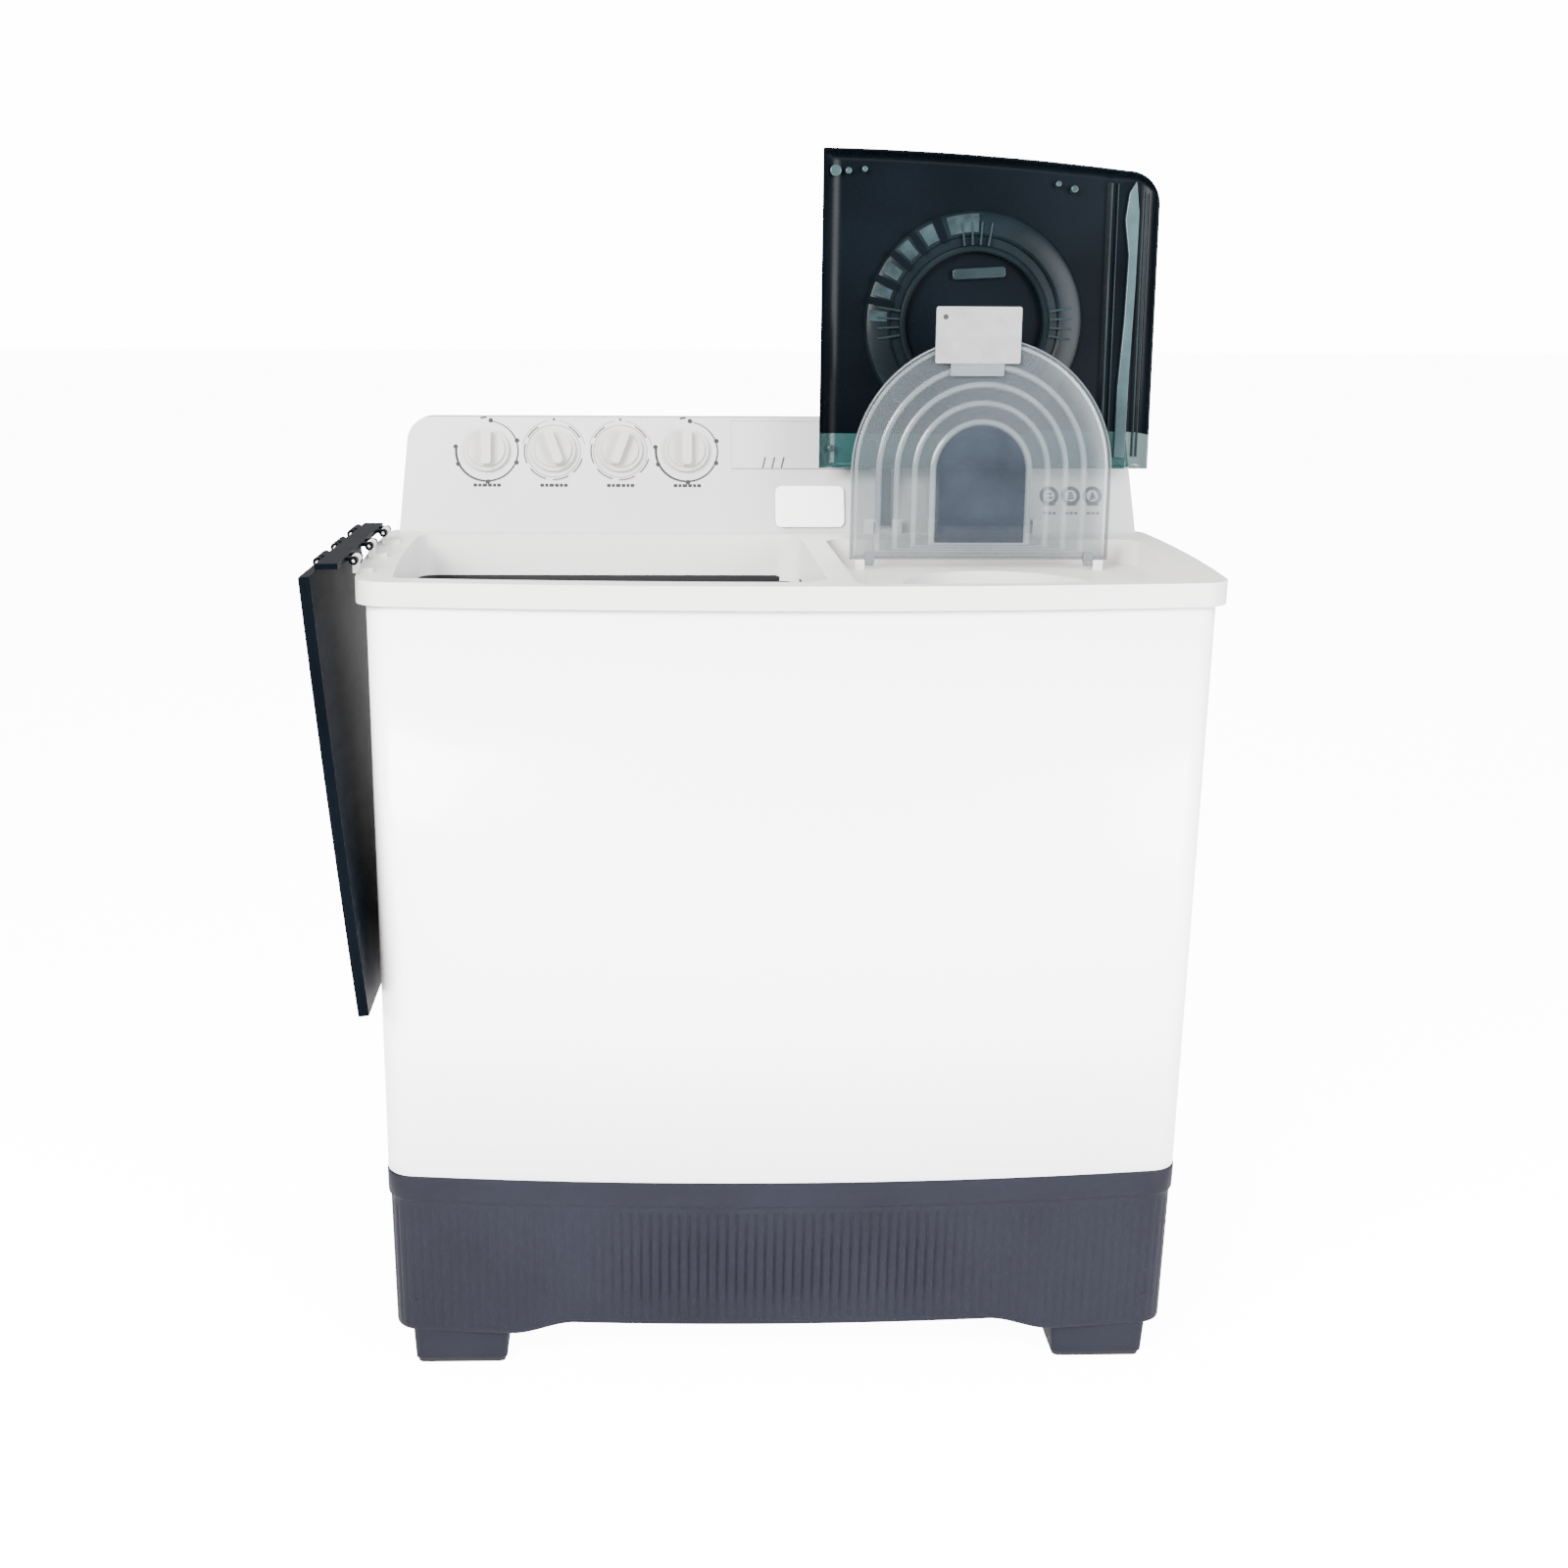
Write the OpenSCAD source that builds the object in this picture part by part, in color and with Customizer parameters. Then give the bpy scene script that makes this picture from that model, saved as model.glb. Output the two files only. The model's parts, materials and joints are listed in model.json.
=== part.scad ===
// Twin tub washing machine: a steel cabinet on a fluted plinth, with an impeller wash tub on
// the left, a spin dryer on the right and a raised control panel along the back.
// The folding wash lid hangs open on the left side and both spin lids stand open.

/* [Cabinet] */
// Height of the deck's rim above the floor
deck_z = 930; // [910:5:950]
// Width of the steel cabinet
body_w = 916; // [906:2:926]
// Widest width of the moulded deck
rim_w = 968; // [960:2:976]
// Distance from the cabinet's middle plane to the front of the rim, at its centre
front_d = 276; // [272:1:280]
// Distance from the cabinet's middle plane to the back of the machine
back_d = 285; // [280:1:300]
// How far the bowed front stands proud of its corners
bow = 28; // [20:1:36]
// Height of the deck's outer rim
rim_h = 26; // [20:1:32]
// Height of the plinth's top edge above the floor
plinth_z = 246; // [230:2:260]
// Height of the four feet
foot_h = 46; // [40:1:50]

/* [Control panel] */
// Width of the control housing
panel_w = 940; // [920:2:944]
// Height of the control housing above the rim
panel_h = 140; // [130:1:150]
// Lean of the dial face from upright, in degrees
panel_lean = 22; // [16:1:26]
// Distance of the dial face's foot behind the cabinet's middle plane
panel_y = 178; // [174:1:184]
// Place of the first dial along the panel
knob_x0 = -360; // [-370:1:-350]
// Spacing of the dials
knob_pitch = 85; // [80:1:88]
// Height of the dials up the sloped face
knob_s = 106; // [100:1:110]
// Radius of a knob's skirt
knob_r = 28; // [24:1:30]

/* [Wash tub] */
// Right edge of the wash opening
wash_right = 36; // [30:1:40]
// Back edge of the wash opening
wash_back = 152; // [146:1:152]
// Height of the wash tub's floor above the ground
wash_floor = 372; // [360:2:380]
// Radius of the pulsator
pulsator_r = 170; // [150:2:180]

/* [Spin tub] */
// Place of the spinner's axis across the machine
spin_x = 252; // [248:1:256]
// Place of the spinner's axis along the machine's depth
spin_y = -66; // [-70:1:-60]
// Radius of the spin basket
basket_r = 138; // [130:1:140]
// Radius of the opening above the basket
mouth_r = 112; // [106:1:116]
// Depth of the spin recess below the rim
recess_d = 30; // [26:1:32]

/* [Lids] */
// Thickness of the folding wash lid at its skirt
wash_lid_t = 12; // [10:1:13]
// Lean of the hanging wash lid towards the cabinet, in degrees
hang_lean = 5.6; // [4:0.1:5.7]
// Lean of the open spin lid behind upright, in degrees
spin_lean = 4; // [2:0.5:6]
// Lean of the open inner lid behind upright, in degrees
inner_lean = 3; // [1:0.5:5]
// Depth of the spin lid's skirt
spin_lid_t = 20; // [16:1:22]

/* [Hidden] */

$fn = 48;
wall = 3;                      // moulded wall
steel = 2;                     // cabinet sheet
fit = 0.05;                    // running clearance of pins and shafts
big = 2000;                    // larger than the machine
rim_hw = rim_w / 2;
body_hw = body_w / 2;
body_front = front_d - 8;
corner_r = 34;
side_r = 3000;                 // plan radius of the deck's bowed sides
side_y = 90;                   // where the deck is widest
deck_back = 204;               // the deck's wide part ends here, beside the control housing
housing_hw = panel_w / 2;
deck_t = 4;
ledge = 42;                    // width of the deck beside the wash opening
wash_front = 32;               // width of the deck in front of the wash opening
collar_z = deck_z - 58;
recess_z = deck_z - recess_d;
recess_x0 = 64;
recess_x1 = 452;
recess_y1 = 112;
wash_x = -200;
wash_y = -32;
shaft_r = 8;
outer_r = basket_r + 28;
outer_top = recess_z - 18;
outer_floor = 330;
basket_z0 = outer_floor + 42;
basket_z1 = outer_top - 34;
// sloped dial face: the sine and cosine of its lean
lean_s = sin(panel_lean);
lean_c = cos(panel_lean);
face_len = panel_h / lean_c;
// folding wash lid: the deck hinge and the fold hinge, with the lid open
lid_top = deck_z + 14;         // top surface of the closed lids
leaf_axis_x = -473;
leaf_w = 37;                   // from the deck hinge to the fold hinge
leaf_t = 6;
fold_x = leaf_axis_x - leaf_w;
lid_len = 489;
lid_right = leaf_axis_x + leaf_w + lid_len;
lid_back = 104;
knuckle_r = 5;
pin_r = 2;
hinge_gap = 7;                 // plates stay this far from a hinge axis
leaf_ys = [-170, -50, 70];     // middles of the deck's hinge lugs
lug_w = 16;
// spin lid
spin_axis_y = 172;
spin_axis_z = deck_z + 14;
spin_lid_x0 = 60;
spin_lid_x1 = 476;
leg_len = 68;                  // from the hinge to the lid's back edge
leg_x = 274;
leg_w = 118;
arm_x = 144;
arm_w = 20;
ring_d = 246;                  // from the hinge to the middle of the moulded ring
ring_r = 88;
ring_r2 = 132;
// inner lid
inner_x = 248;
inner_r = 158;
inner_axis_y = 60;
inner_axis_z = recess_z + 8;
inner_straight = 110;
ear_x = 134;                   // from the inner lid's middle to an ear
// drive
gear_z0 = 296;
pulley_z = 272;
pulley_r = 68;
motor_x = -50;
motor_y = 58;
motor_pulley_r = 17;
motor_r = 58;
drum_r = 58;
drum_z = 264;
spin_motor_r = 68;
spin_motor_z0 = 104;
spin_motor_z1 = 232;
plate_z = 90;                  // top of the plinth's floor plate
spring_ring = 92;
// plumbing behind the tubs
valve_x = 60;
valve_y = 228;
valve_z = 330;
drain_z = 130;
join_z = 190;                  // where the overflow joins the drain pipe
branch_z = 240;                // where the spin tub's drain joins it
spigot_r = 14;
inlet_r = 13.2;
inlet_x = 190;
spout_x = 52;
inlet_z = deck_z + 60;
// row frame: the middle of the whole machine's box stands over the origin
lid_out = -fold_x - hinge_gap * sin(hang_lean) + wash_lid_t * cos(hang_lean);
inlet_out = back_d + 18;
shift_x = (lid_out - rim_hw) / 2;
shift_y = (front_d + 6 - inlet_out) / 2;

// ---- outlines --------------------------------------------------------------------------
function arc(cx, cy, r, a0, a1, n) =
    [for (i = [0:n]) let (a = a0 + (a1 - a0) * i / n) [cx + r * cos(a), cy + r * sin(a)]];
function inner_arc(cx, cy, r, a0, a1, n) =
    [for (i = [1:n - 1]) let (a = a0 + (a1 - a0) * i / n) [cx + r * cos(a), cy + r * sin(a)]];
function side(x, y0, y1, n) = [for (i = [1:n - 1]) [x, y0 + (y1 - y0) * i / n]];
function bow_r(b) = (body_hw * body_hw + b * b) / (2 * b);
// Rectangle in plan with a bowed front, and rounded corners
function plan(hw, yf, yb, rc, rr) =
    let (big_r = bow_r(bow), cy = yf + big_r,
         fy = cy - sqrt(pow(big_r - rc, 2) - pow(hw - rc, 2)), a = atan2(fy - cy, hw - rc))
    concat(arc(hw - rr, yb - rr, rr, 0, 90, 6), arc(-hw + rr, yb - rr, rr, 90, 180, 6),
           side(-hw, yb - rr, fy, 6), arc(-hw + rc, fy, rc, 180, 180 - a, 6),
           inner_arc(0, cy, big_r, 180 - a, 360 + a, 14),
           arc(hw - rc, fy, rc, 360 + a, 360, 6), side(hw, fy, yb - rr, 6));
// The same, with its sides bowed as the deck's are
function bowed(points, hw) =
    [for (p = points) [p[0] * (1 - pow(p[1] - side_y, 2) / (2 * side_r * hw)), p[1]]];
function deck_plan(i) =
    bowed(plan(rim_hw - i, -front_d + i, deck_back - i, corner_r - i / 2, 22), rim_hw);
function round_rect(x0, y0, x1, y1, r) =
    concat(arc(x1 - r, y1 - r, r, 0, 90, 6), arc(x0 + r, y1 - r, r, 90, 180, 6),
           arc(x0 + r, y0 + r, r, 180, 270, 6), arc(x1 - r, y0 + r, r, 270, 360, 6));
module slab(points, z0, z1) {
    translate([0, 0, z0]) linear_extrude(z1 - z0) polygon(points);
}
module box(a, b) {
    translate(a) cube(b - a);
}
module rod(p, r, h) {
    translate(p) cylinder(r = r, h = h);
}
module rod_x(p, r, l) {
    translate(p) rotate([0, 90, 0]) cylinder(r = r, h = l);
}
module rod_y(p, r, l) {
    translate(p) rotate([-90, 0, 0]) cylinder(r = r, h = l);
}
// Opening over the wash tub, grown by g
module wash_hole(g, z0, z1) {
    intersection() {
        translate([0, wash_front - ledge, 0]) slab(deck_plan(ledge - g), z0, z1);
        slab(round_rect(-rim_hw, -front_d + wash_front - g, wash_right + g, wash_back + g, 30),
             z0 - 1, z1 + 1);
    }
}
// Recess around the spin opening, grown by g
module recess(g, z0, z1) {
    intersection() {
        slab(deck_plan(18 - g), z0, z1);
        slab(round_rect(recess_x0 - g, -front_d + 12 - g, recess_x1 + g, recess_y1 + g, 24),
             z0 - 1, z1 + 1);
    }
}
// Moves to a place on the dial face: x across, s up the slope, +Z out of the face
module on_face(x, s) {
    translate([x, panel_y + s * lean_s, deck_z + s * lean_c]) rotate([90 - panel_lean, 0, 0])
        children();
}
// Helical spring along +Z
module coil(r, wire, h, turns) {
    steps = turns * 14;
    sides = 6;
    points = [for (i = [0:steps], k = [0:sides - 1])
        let (a = 360 * turns * i / steps, b = 360 * k / sides, q = r + wire * cos(b))
        [q * cos(a), q * sin(a), wire + (h - 2 * wire) * i / steps + wire * sin(b)]];
    faces = concat(
        [[for (k = [0:sides - 1]) k]],
        [for (i = [0:steps - 1], k = [0:sides - 1])
            [i * sides + k, (i + 1) * sides + k, (i + 1) * sides + (k + 1) % sides,
             i * sides + (k + 1) % sides]],
        [[for (k = [0:sides - 1]) (steps + 1) * sides - 1 - k]]);
    polyhedron(points = points, faces = faces, convexity = 10);
}
// Puts a finished sub-part into the row frame
module place() {
    translate([shift_x, shift_y, 0]) children();
}

// ---- casing ----------------------------------------------------------------------------
module foot_posts(z0, z1, grow) {
    for (sx = [-1, 1], sy = [-1, 1])
        translate([sx * 377, sy == -1 ? -206 : 236, 0])
            slab(round_rect(-57 - grow, -34 - grow, 57 + grow, 34 + grow, 8), z0, z1);
}
module base_plinth() {
    color("#44454f") place() {
        difference() {
            slab(plan(body_hw + 1, -body_front - 1, back_d - 3, corner_r, 20), foot_h, plinth_z);
            slab(plan(body_hw - wall, -body_front + wall, back_d - 6, corner_r - wall, 18),
                 plate_z, plinth_z + 1);
            slab(plan(body_hw - wall, -body_front + wall, back_d - 6, corner_r - wall, 18),
                 foot_h - 1, plate_z - 4);
            box([-285, -front_d - 10, foot_h - 1], [285, -body_front + 60, foot_h + 16]);
            for (i = [-4:4])
                box([i * 46 - 14 - 190, -40, plate_z - 5], [i * 46 + 14 - 190, 120, plate_z + 1]);
            rod_y([valve_x, back_d - 10, drain_z], spigot_r + fit, 20);
        }
        foot_posts(6, plate_z - 4, 0);
    }
}
module foot_pads() {
    color("#26262b") place() foot_posts(0, 6, -4);
}
module cabinet() {
    z1 = deck_z - rim_h;
    color("#f7f5f5") place() difference() {
        slab(plan(body_hw, -body_front, back_d - 4, corner_r, 16), plinth_z, z1);
        slab(plan(body_hw - steel, -body_front + steel, back_d - 4 - steel, corner_r - steel, 14),
             plinth_z - 1, z1 + 1);
        box([-430, back_d - 12, plinth_z - 1], [430, back_d, z1 + 1]);
    }
}
module back_cover() {
    z0 = plinth_z + 4;
    z1 = deck_z - rim_h - 4;
    color("#dcdcdc") place() difference() {
        union() {
            box([-446, back_d - 4, z0], [446, back_d - 1.5, z1]);
            box([-426, back_d - 6, z0], [426, back_d - 4, z1]);
        }
        for (i = [0:9])
            box([-320, back_d - 8, 300 + i * 16], [-180, back_d, 306 + i * 16]);
        for (x = [-438, 438], z = [z0 + 20, (z0 + z1) / 2, z1 - 20])
            rod_y([x, back_d - 8, z], 2.1, 20);
        rod_y([-300, back_d - 10, z0 + 16], 9, 20);
    }
}
// Deck plate with its openings cut, before the small posts stand on it
module deck_shell() {
    rim_z = deck_z - rim_h;
    difference() {
        union() {
            difference() {
                slab(deck_plan(0), rim_z, deck_z);
                slab(deck_plan(wall), rim_z - 1, deck_z - deck_t);
            }
            difference() {
                slab(plan(housing_hw - 4, -100, back_d, 20, 16), rim_z, deck_z);
                box([-big, -big, 0], [big, deck_back - 40, deck_z + 1]);
                slab(plan(housing_hw - 4 - wall, -100, back_d - wall, 20, 14), rim_z - 1,
                     deck_z - deck_t);
            }
            difference() {
                slab(plan(body_hw, -body_front, deck_back - 8, corner_r, 8), rim_z,
                     deck_z - deck_t);
                slab(plan(body_hw - wall, -body_front + wall, deck_back - 8 - wall,
                          corner_r - wall, 8), rim_z - 1, deck_z);
            }
            wash_hole(wall, collar_z, deck_z);
            recess(wall, recess_z - wall, deck_z);
            rod([spin_x, spin_y, recess_z - 20], mouth_r + wall, 20);
        }
        wash_hole(0, collar_z - 1, deck_z + 1);
        recess(0, recess_z, deck_z + 1);
        rod([spin_x, spin_y, recess_z - 40], mouth_r, 60);
        rod([valve_x, valve_y, rim_z - 1], 4, rim_h + 2);
    }
}
// Upright lug with a round top, along X or Y
module lug_x(x, y, z0, z1) {
    box([x, y - 4, z0], [x + 12, y + 4, z1]);
    rod_x([x, y, z1], 4, 12);
}
module lug_y(x, y, z0, z1) {
    box([x - 3, y - lug_w / 2, z0], [x + 3, y + lug_w / 2, z1]);
    box([x - 3, y - lug_w / 2, z0], [x + 18, y + lug_w / 2, z0 + 5]);
    rod_y([x, y - lug_w / 2, z1], knuckle_r, lug_w);
}
module top_deck() {
    color("#ebe9e6") place() difference() {
        union() {
            deck_shell();
            for (y = leaf_ys)
                lug_y(leaf_axis_x, y, deck_z - 1, lid_top);
            for (c = [[leg_x, leg_w], [arm_x, arm_w]], s = [-14, 2])
                lug_x(c[0] + (s < 0 ? -1 : 1) * c[1] / 2 + s, spin_axis_y, deck_z - 1,
                      spin_axis_z);
            for (x = [inner_x - ear_x - 18, inner_x + ear_x + 6])
                lug_x(x, inner_axis_y, recess_z - 1, inner_axis_z);
        }
        for (y = leaf_ys)
            rod_y([leaf_axis_x, y - lug_w, lid_top], pin_r + fit, 2 * lug_w);
        rod_x([arm_x - 30, spin_axis_y, spin_axis_z], pin_r + fit, 300);
        for (s = [-1, 1])
            rod_x([inner_x + s * ear_x - 30, inner_axis_y, inner_axis_z], pin_r + fit, 60);
    }
}

// ---- control housing -------------------------------------------------------------------
// Side view of the housing, shrunk by i
function housing_side(i) = [
    [panel_y + i / lean_c, deck_z], [panel_y + i / lean_c + (panel_h - i) * tan(panel_lean),
    deck_z + panel_h - i], [back_d - 16 - i, deck_z + panel_h - i],
    [back_d - i, deck_z + panel_h - 16 - i], [back_d - i, deck_z]];
// Front view of the housing, shrunk by i
function housing_front(i) =
    let (hw = housing_hw - i, top = deck_z + panel_h - i, r = 30 - i)
    concat([[hw, deck_z - 1]], arc(hw - 8 - r, top - r, r, 0, 90, 8),
           arc(-hw + 8 + r, top - r, r, 90, 180, 8), [[-hw, deck_z - 1]]);
module housing(i, drop) {
    intersection() {
        translate([-big / 2, 0, -drop]) rotate([90, 0, 90]) linear_extrude(big)
            polygon(housing_side(i));
        translate([0, big / 2, -drop]) rotate([90, 0, 0]) linear_extrude(big)
            polygon(housing_front(i));
    }
}
module control_panel() {
    color("#e2e1de") place() difference() {
        housing(0, 0);
        housing(wall, 1);
        for (k = [0:3])
            on_face(knob_x0 + k * knob_pitch, knob_s) rod([0, 0, -20], 6, 40);
        on_face(0, 0) box([-48, 78, -1], [134, face_len - 4, 5]);
        on_face(spout_x, 6) box([-30, 2, -12], [30, 9, 1]);
        box([-400, back_d - wall - 1, deck_z + 14], [400, back_d + 1, deck_z + 112]);
    }
}
module control_back_cover() {
    color("#d6d6d4") place() difference() {
        box([-399, back_d - wall, deck_z + 15], [399, back_d, deck_z + 111]);
        rod_y([inlet_x, back_d - 10, inlet_z], inlet_r + fit, 20);
        for (x = [-380, 380])
            rod_y([x, back_d - 10, deck_z + 64], 2.1, 20);
    }
}
module inlet_spout() {
    color("#f0f0ee") place() on_face(spout_x, 6) difference() {
        slab(round_rect(-44, 0, 44, 54, 8), 0, 4);
        box([-34, -1, -1], [34, 10, 2.5]);
    }
}
module knob(turn) {
    difference() {
        union() {
            cylinder(r = knob_r, h = 5);
            translate([0, 0, 5]) cylinder(r = knob_r - 5, h = 3);
            rotate([0, 0, turn]) slab(round_rect(-6, -knob_r + 5, 6, knob_r - 5, 5), 5, 20);
            translate([0, 0, -14]) cylinder(r = 5, h = 14);
        }
        translate([0, 0, -15]) cylinder(r = 3 + fit, h = 24);
    }
}
module knob_at(k, turn) {
    color("#f2f1ee") place() on_face(knob_x0 + k * knob_pitch, knob_s) translate([0, 0, 1])
        knob(turn);
}
module wash_timer_knob() { knob_at(0, 0); }
module wash_selector_knob() { knob_at(1, 20); }
module drain_selector_knob() { knob_at(2, -20); }
module spin_timer_knob() { knob_at(3, 0); }
// Clockwork or switch block behind a dial, with its spindle
module dial_block(k, half, deep) {
    place() on_face(knob_x0 + k * knob_pitch, knob_s) union() {
        slab(round_rect(-half, -half, half, half, 4), -15 - deep, -15);
        rod([0, 0, -15], 3, 22);
    }
}
module wash_timer() { color("#c9c6bd") dial_block(0, 24, 26); }
module wash_selector_switch() { color("#8d8f94") dial_block(1, 18, 18); }
module drain_selector_cam() { color("#b7b3a8") dial_block(2, 20, 14); }
module spin_timer() { color("#c9c6bd") dial_block(3, 24, 26); }
module inlet_channel() {
    color("#d9dadb") place() difference() {
        union() {
            box([150, 218, deck_z + 2], [230, back_d - 24, deck_z + 76]);
            box([150, 200, deck_z + 2], [230, 240, deck_z + 40]);
            box([20, 196, deck_z + 2], [150, 218, deck_z + 26]);
        }
        box([153, 221, deck_z + 5], [227, back_d - 27, deck_z + 73]);
        box([153, 203, deck_z + 5], [227, 240, deck_z + 37]);
        box([23, 203, deck_z + 5], [155, 215, deck_z + 23]);
        box([spout_x - 26, 190, deck_z + 8], [spout_x + 26, 206, deck_z + 16]);
        rod_y([inlet_x, back_d - 30, inlet_z], 9, 20);
    }
}
module water_inlet_nipple() {
    color("#3c6fae") place() difference() {
        union() {
            rod_y([inlet_x, back_d, inlet_z], inlet_r, 18);
            rod_y([inlet_x, back_d - 10, inlet_z], inlet_r - 0.4, 10);
            rod_y([inlet_x, back_d - 24, inlet_z], 18, 21);
        }
        rod_y([inlet_x, back_d - 30, inlet_z], 9, 60);
    }
}
module safety_switch() {
    color("#2b2b2e") place() box([300, 200, deck_z + 2], [340, 222, deck_z + 26]);
}

// ---- wash side -------------------------------------------------------------------------
module wash_tub() {
    color("#dfe3ea") place() difference() {
        union() {
            wash_hole(wall + 4, wash_floor - 6, outer_top);
            rod([wash_x, wash_y, wash_floor - 12], 26, 12);
        }
        wash_hole(4, wash_floor, outer_top + 1);
        rod([wash_x, wash_y, wash_floor - 20], 16, 40);
        rod_y([valve_x - 60, wash_back - 10, wash_floor + 26], 14 + fit, 30);
        rod_y([-30, wash_back - 10, 800], 12, 30);
    }
}
module wash_tub_seal() {
    color("#2a2a2c") place() difference() {
        rod([wash_x, wash_y, wash_floor - 12], 16, 12);
        rod([wash_x, wash_y, wash_floor - 20], shaft_r + fit, 40);
    }
}
module pulsator() {
    z0 = wash_floor + 6;
    color("#cfd6e2") place() translate([wash_x, wash_y, z0]) difference() {
        union() {
            rotate_extrude($fn = 96) polygon([[0, 0], [pulsator_r, 0], [pulsator_r, 6],
                [pulsator_r - 14, 12], [40, 18], [28, 30], [0, 30]]);
            for (k = [0:5])
                rotate([0, 0, 60 * k]) translate([24, -7, 8]) cube([pulsator_r - 44, 14, 20]);
        }
        translate([0, 0, -1]) cylinder(r = shaft_r + fit, h = 20);
        translate([0, 0, 18]) cylinder(r = 3.2, h = 20);
        for (k = [0:5], j = [0:3])
            rotate([0, 0, 60 * k + 30]) translate([60 + 26 * j, 0, -1]) cylinder(r = 4, h = 40);
    }
}
module pulsator_screw() {
    color("#9fa3a8") place() translate([wash_x, wash_y, wash_floor + 36]) union() {
        cylinder(r = 9, h = 5);
        translate([0, 0, -11]) cylinder(r = 3, h = 11);
    }
}
module wash_shaft() {
    color("#a9adb3") place() rod([wash_x, wash_y, gear_z0 + 40], shaft_r,
                                 wash_floor + 24 - gear_z0 - 40);
}
module gearbox() {
    color("#8b8f93") place() difference() {
        union() {
            rod([wash_x, wash_y, gear_z0], 60, wash_floor - 13 - gear_z0);
            rod([wash_x, wash_y, wash_floor - 12], 80, 6);
            for (a = [0:60:300])
                translate([wash_x, wash_y, 0]) rotate([0, 0, a]) box([50, -4, gear_z0 + 10],
                    [74, 4, wash_floor - 12]);
        }
        rod([wash_x, wash_y, wash_floor - 13], 26.4, 20);
        rod([wash_x, wash_y, gear_z0 - 1], shaft_r + fit, 100);
    }
}
// V pulley with its groove round the middle of its rim
module pulley(r, w) {
    rotate_extrude($fn = 64) polygon([[0, 0], [r, 0], [r, 3], [r - 7, 6.5], [r - 7, w - 6.5],
                                      [r, w - 3], [r, w], [0, w]]);
}
module gearbox_pulley() {
    color("#d8d8d2") place() translate([wash_x, wash_y, pulley_z - 9]) difference() {
        union() {
            pulley(pulley_r, 18);
            cylinder(r = shaft_r, h = gear_z0 + 34 - pulley_z + 9);
        }
        for (a = [0:60:300])
            rotate([0, 0, a]) translate([38, 0, -1]) cylinder(r = 13, h = 20);
    }
}
module motor_pulley() {
    color("#c4c4be") place() translate([motor_x, motor_y, pulley_z - 9]) union() {
        pulley(motor_pulley_r, 18);
        cylinder(r = 6, h = 60);
    }
}
// Belt outline round both pulleys, at distance g outside their grooves
function belt(g) =
    let (dx = motor_x - wash_x, dy = motor_y - wash_y, d = sqrt(dx * dx + dy * dy),
         dir = atan2(dy, dx), r1 = pulley_r - 7 + g, r2 = motor_pulley_r - 7 + g,
         t = acos((r1 - r2) / d))
    concat(arc(wash_x, wash_y, r1, dir + t, dir + 360 - t, 24),
           arc(motor_x, motor_y, r2, dir - t, dir + t, 10));
module v_belt() {
    color("#1d1d1f") place() difference() {
        slab(belt(6.4), pulley_z - 2, pulley_z + 2);
        slab(belt(0.5), pulley_z - 3, pulley_z + 3);
    }
}
module wash_motor() {
    color("#5d6167") place() difference() {
        union() {
            rod([motor_x, motor_y, gear_z0], motor_r, 52);
            rod([motor_x, motor_y, gear_z0 - 6], 24, 6);
            for (a = [0:90:270])
                translate([motor_x, motor_y, 0]) rotate([0, 0, a + 45])
                    rod([motor_r - 2, 0, gear_z0], 6, 52);
        }
        rod([motor_x, motor_y, gear_z0 - 8], 6 + fit, 40);
    }
}
module motor_bracket() {
    color("#9a9da1") place() difference() {
        slab(round_rect(motor_x - 66, motor_y - 66, motor_x + 66, motor_y + 66, 12),
             gear_z0 + 52, wash_floor - 6);
        slab(round_rect(motor_x - 40, motor_y - 40, motor_x + 40, motor_y + 40, 12),
             gear_z0 + 58, wash_floor);
        rod([wash_x, wash_y, gear_z0], 81, 100);
    }
}
module filter_holder() {
    color("#c8cdd6") place() difference() {
        box([-262, wash_back - 14, wash_floor + 60], [-138, wash_back + 3.5, 840]);
        box([-258, wash_back - 11, wash_floor + 64], [-142, wash_back + 1, 841]);
        box([-240, wash_back - 20, wash_floor + 90], [-160, wash_back - 10, 780]);
    }
}
module lint_filter() {
    color("#9fb4cf") place() difference() {
        union() {
            box([-256, wash_back - 10, 600], [-144, wash_back - 2, 838]);
            box([-220, wash_back - 10, 838], [-180, wash_back - 2, 852]);
        }
        for (i = [0:3], j = [0:5])
            box([-246 + i * 24, wash_back - 12, 616 + j * 34],
                [-228 + i * 24, wash_back, 640 + j * 34]);
    }
}

// ---- spin side -------------------------------------------------------------------------
module spin_outer_tub() {
    color("#dde1e6") place() translate([spin_x, spin_y, 0]) difference() {
        union() {
            rod([0, 0, outer_floor - 4], outer_r, outer_top - outer_floor + 4, $fn = 96);
            rod([0, 0, outer_top - 8], outer_r + 6, 8, $fn = 96);
        }
        rod([0, 0, outer_floor], outer_r - wall, outer_top, $fn = 96);
        rod([0, 0, outer_floor - 10], 40, 20);
        rod_y([0, outer_r - 20, outer_floor + 16], 12, 40);
    }
}
module spin_basket() {
    h = basket_z1 - basket_z0;
    color("#e6e9ec") place() translate([spin_x, spin_y, basket_z0]) difference() {
        rotate_extrude($fn = 96) polygon([[shaft_r + fit, -12], [30, -12], [30, 0],
            [basket_r, 0], [basket_r, h], [basket_r - 2, h], [basket_r - 2, 4], [34, 4],
            [34, 26], [shaft_r + fit, 26]]);
        for (j = [0:4], k = [0:11])
            rotate([0, 0, 30 * k + 15 * (j % 2)])
                rod_x([basket_r - 6, 0, 70 + 78 * j], 4, 10, $fn = 16);
    }
}
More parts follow.
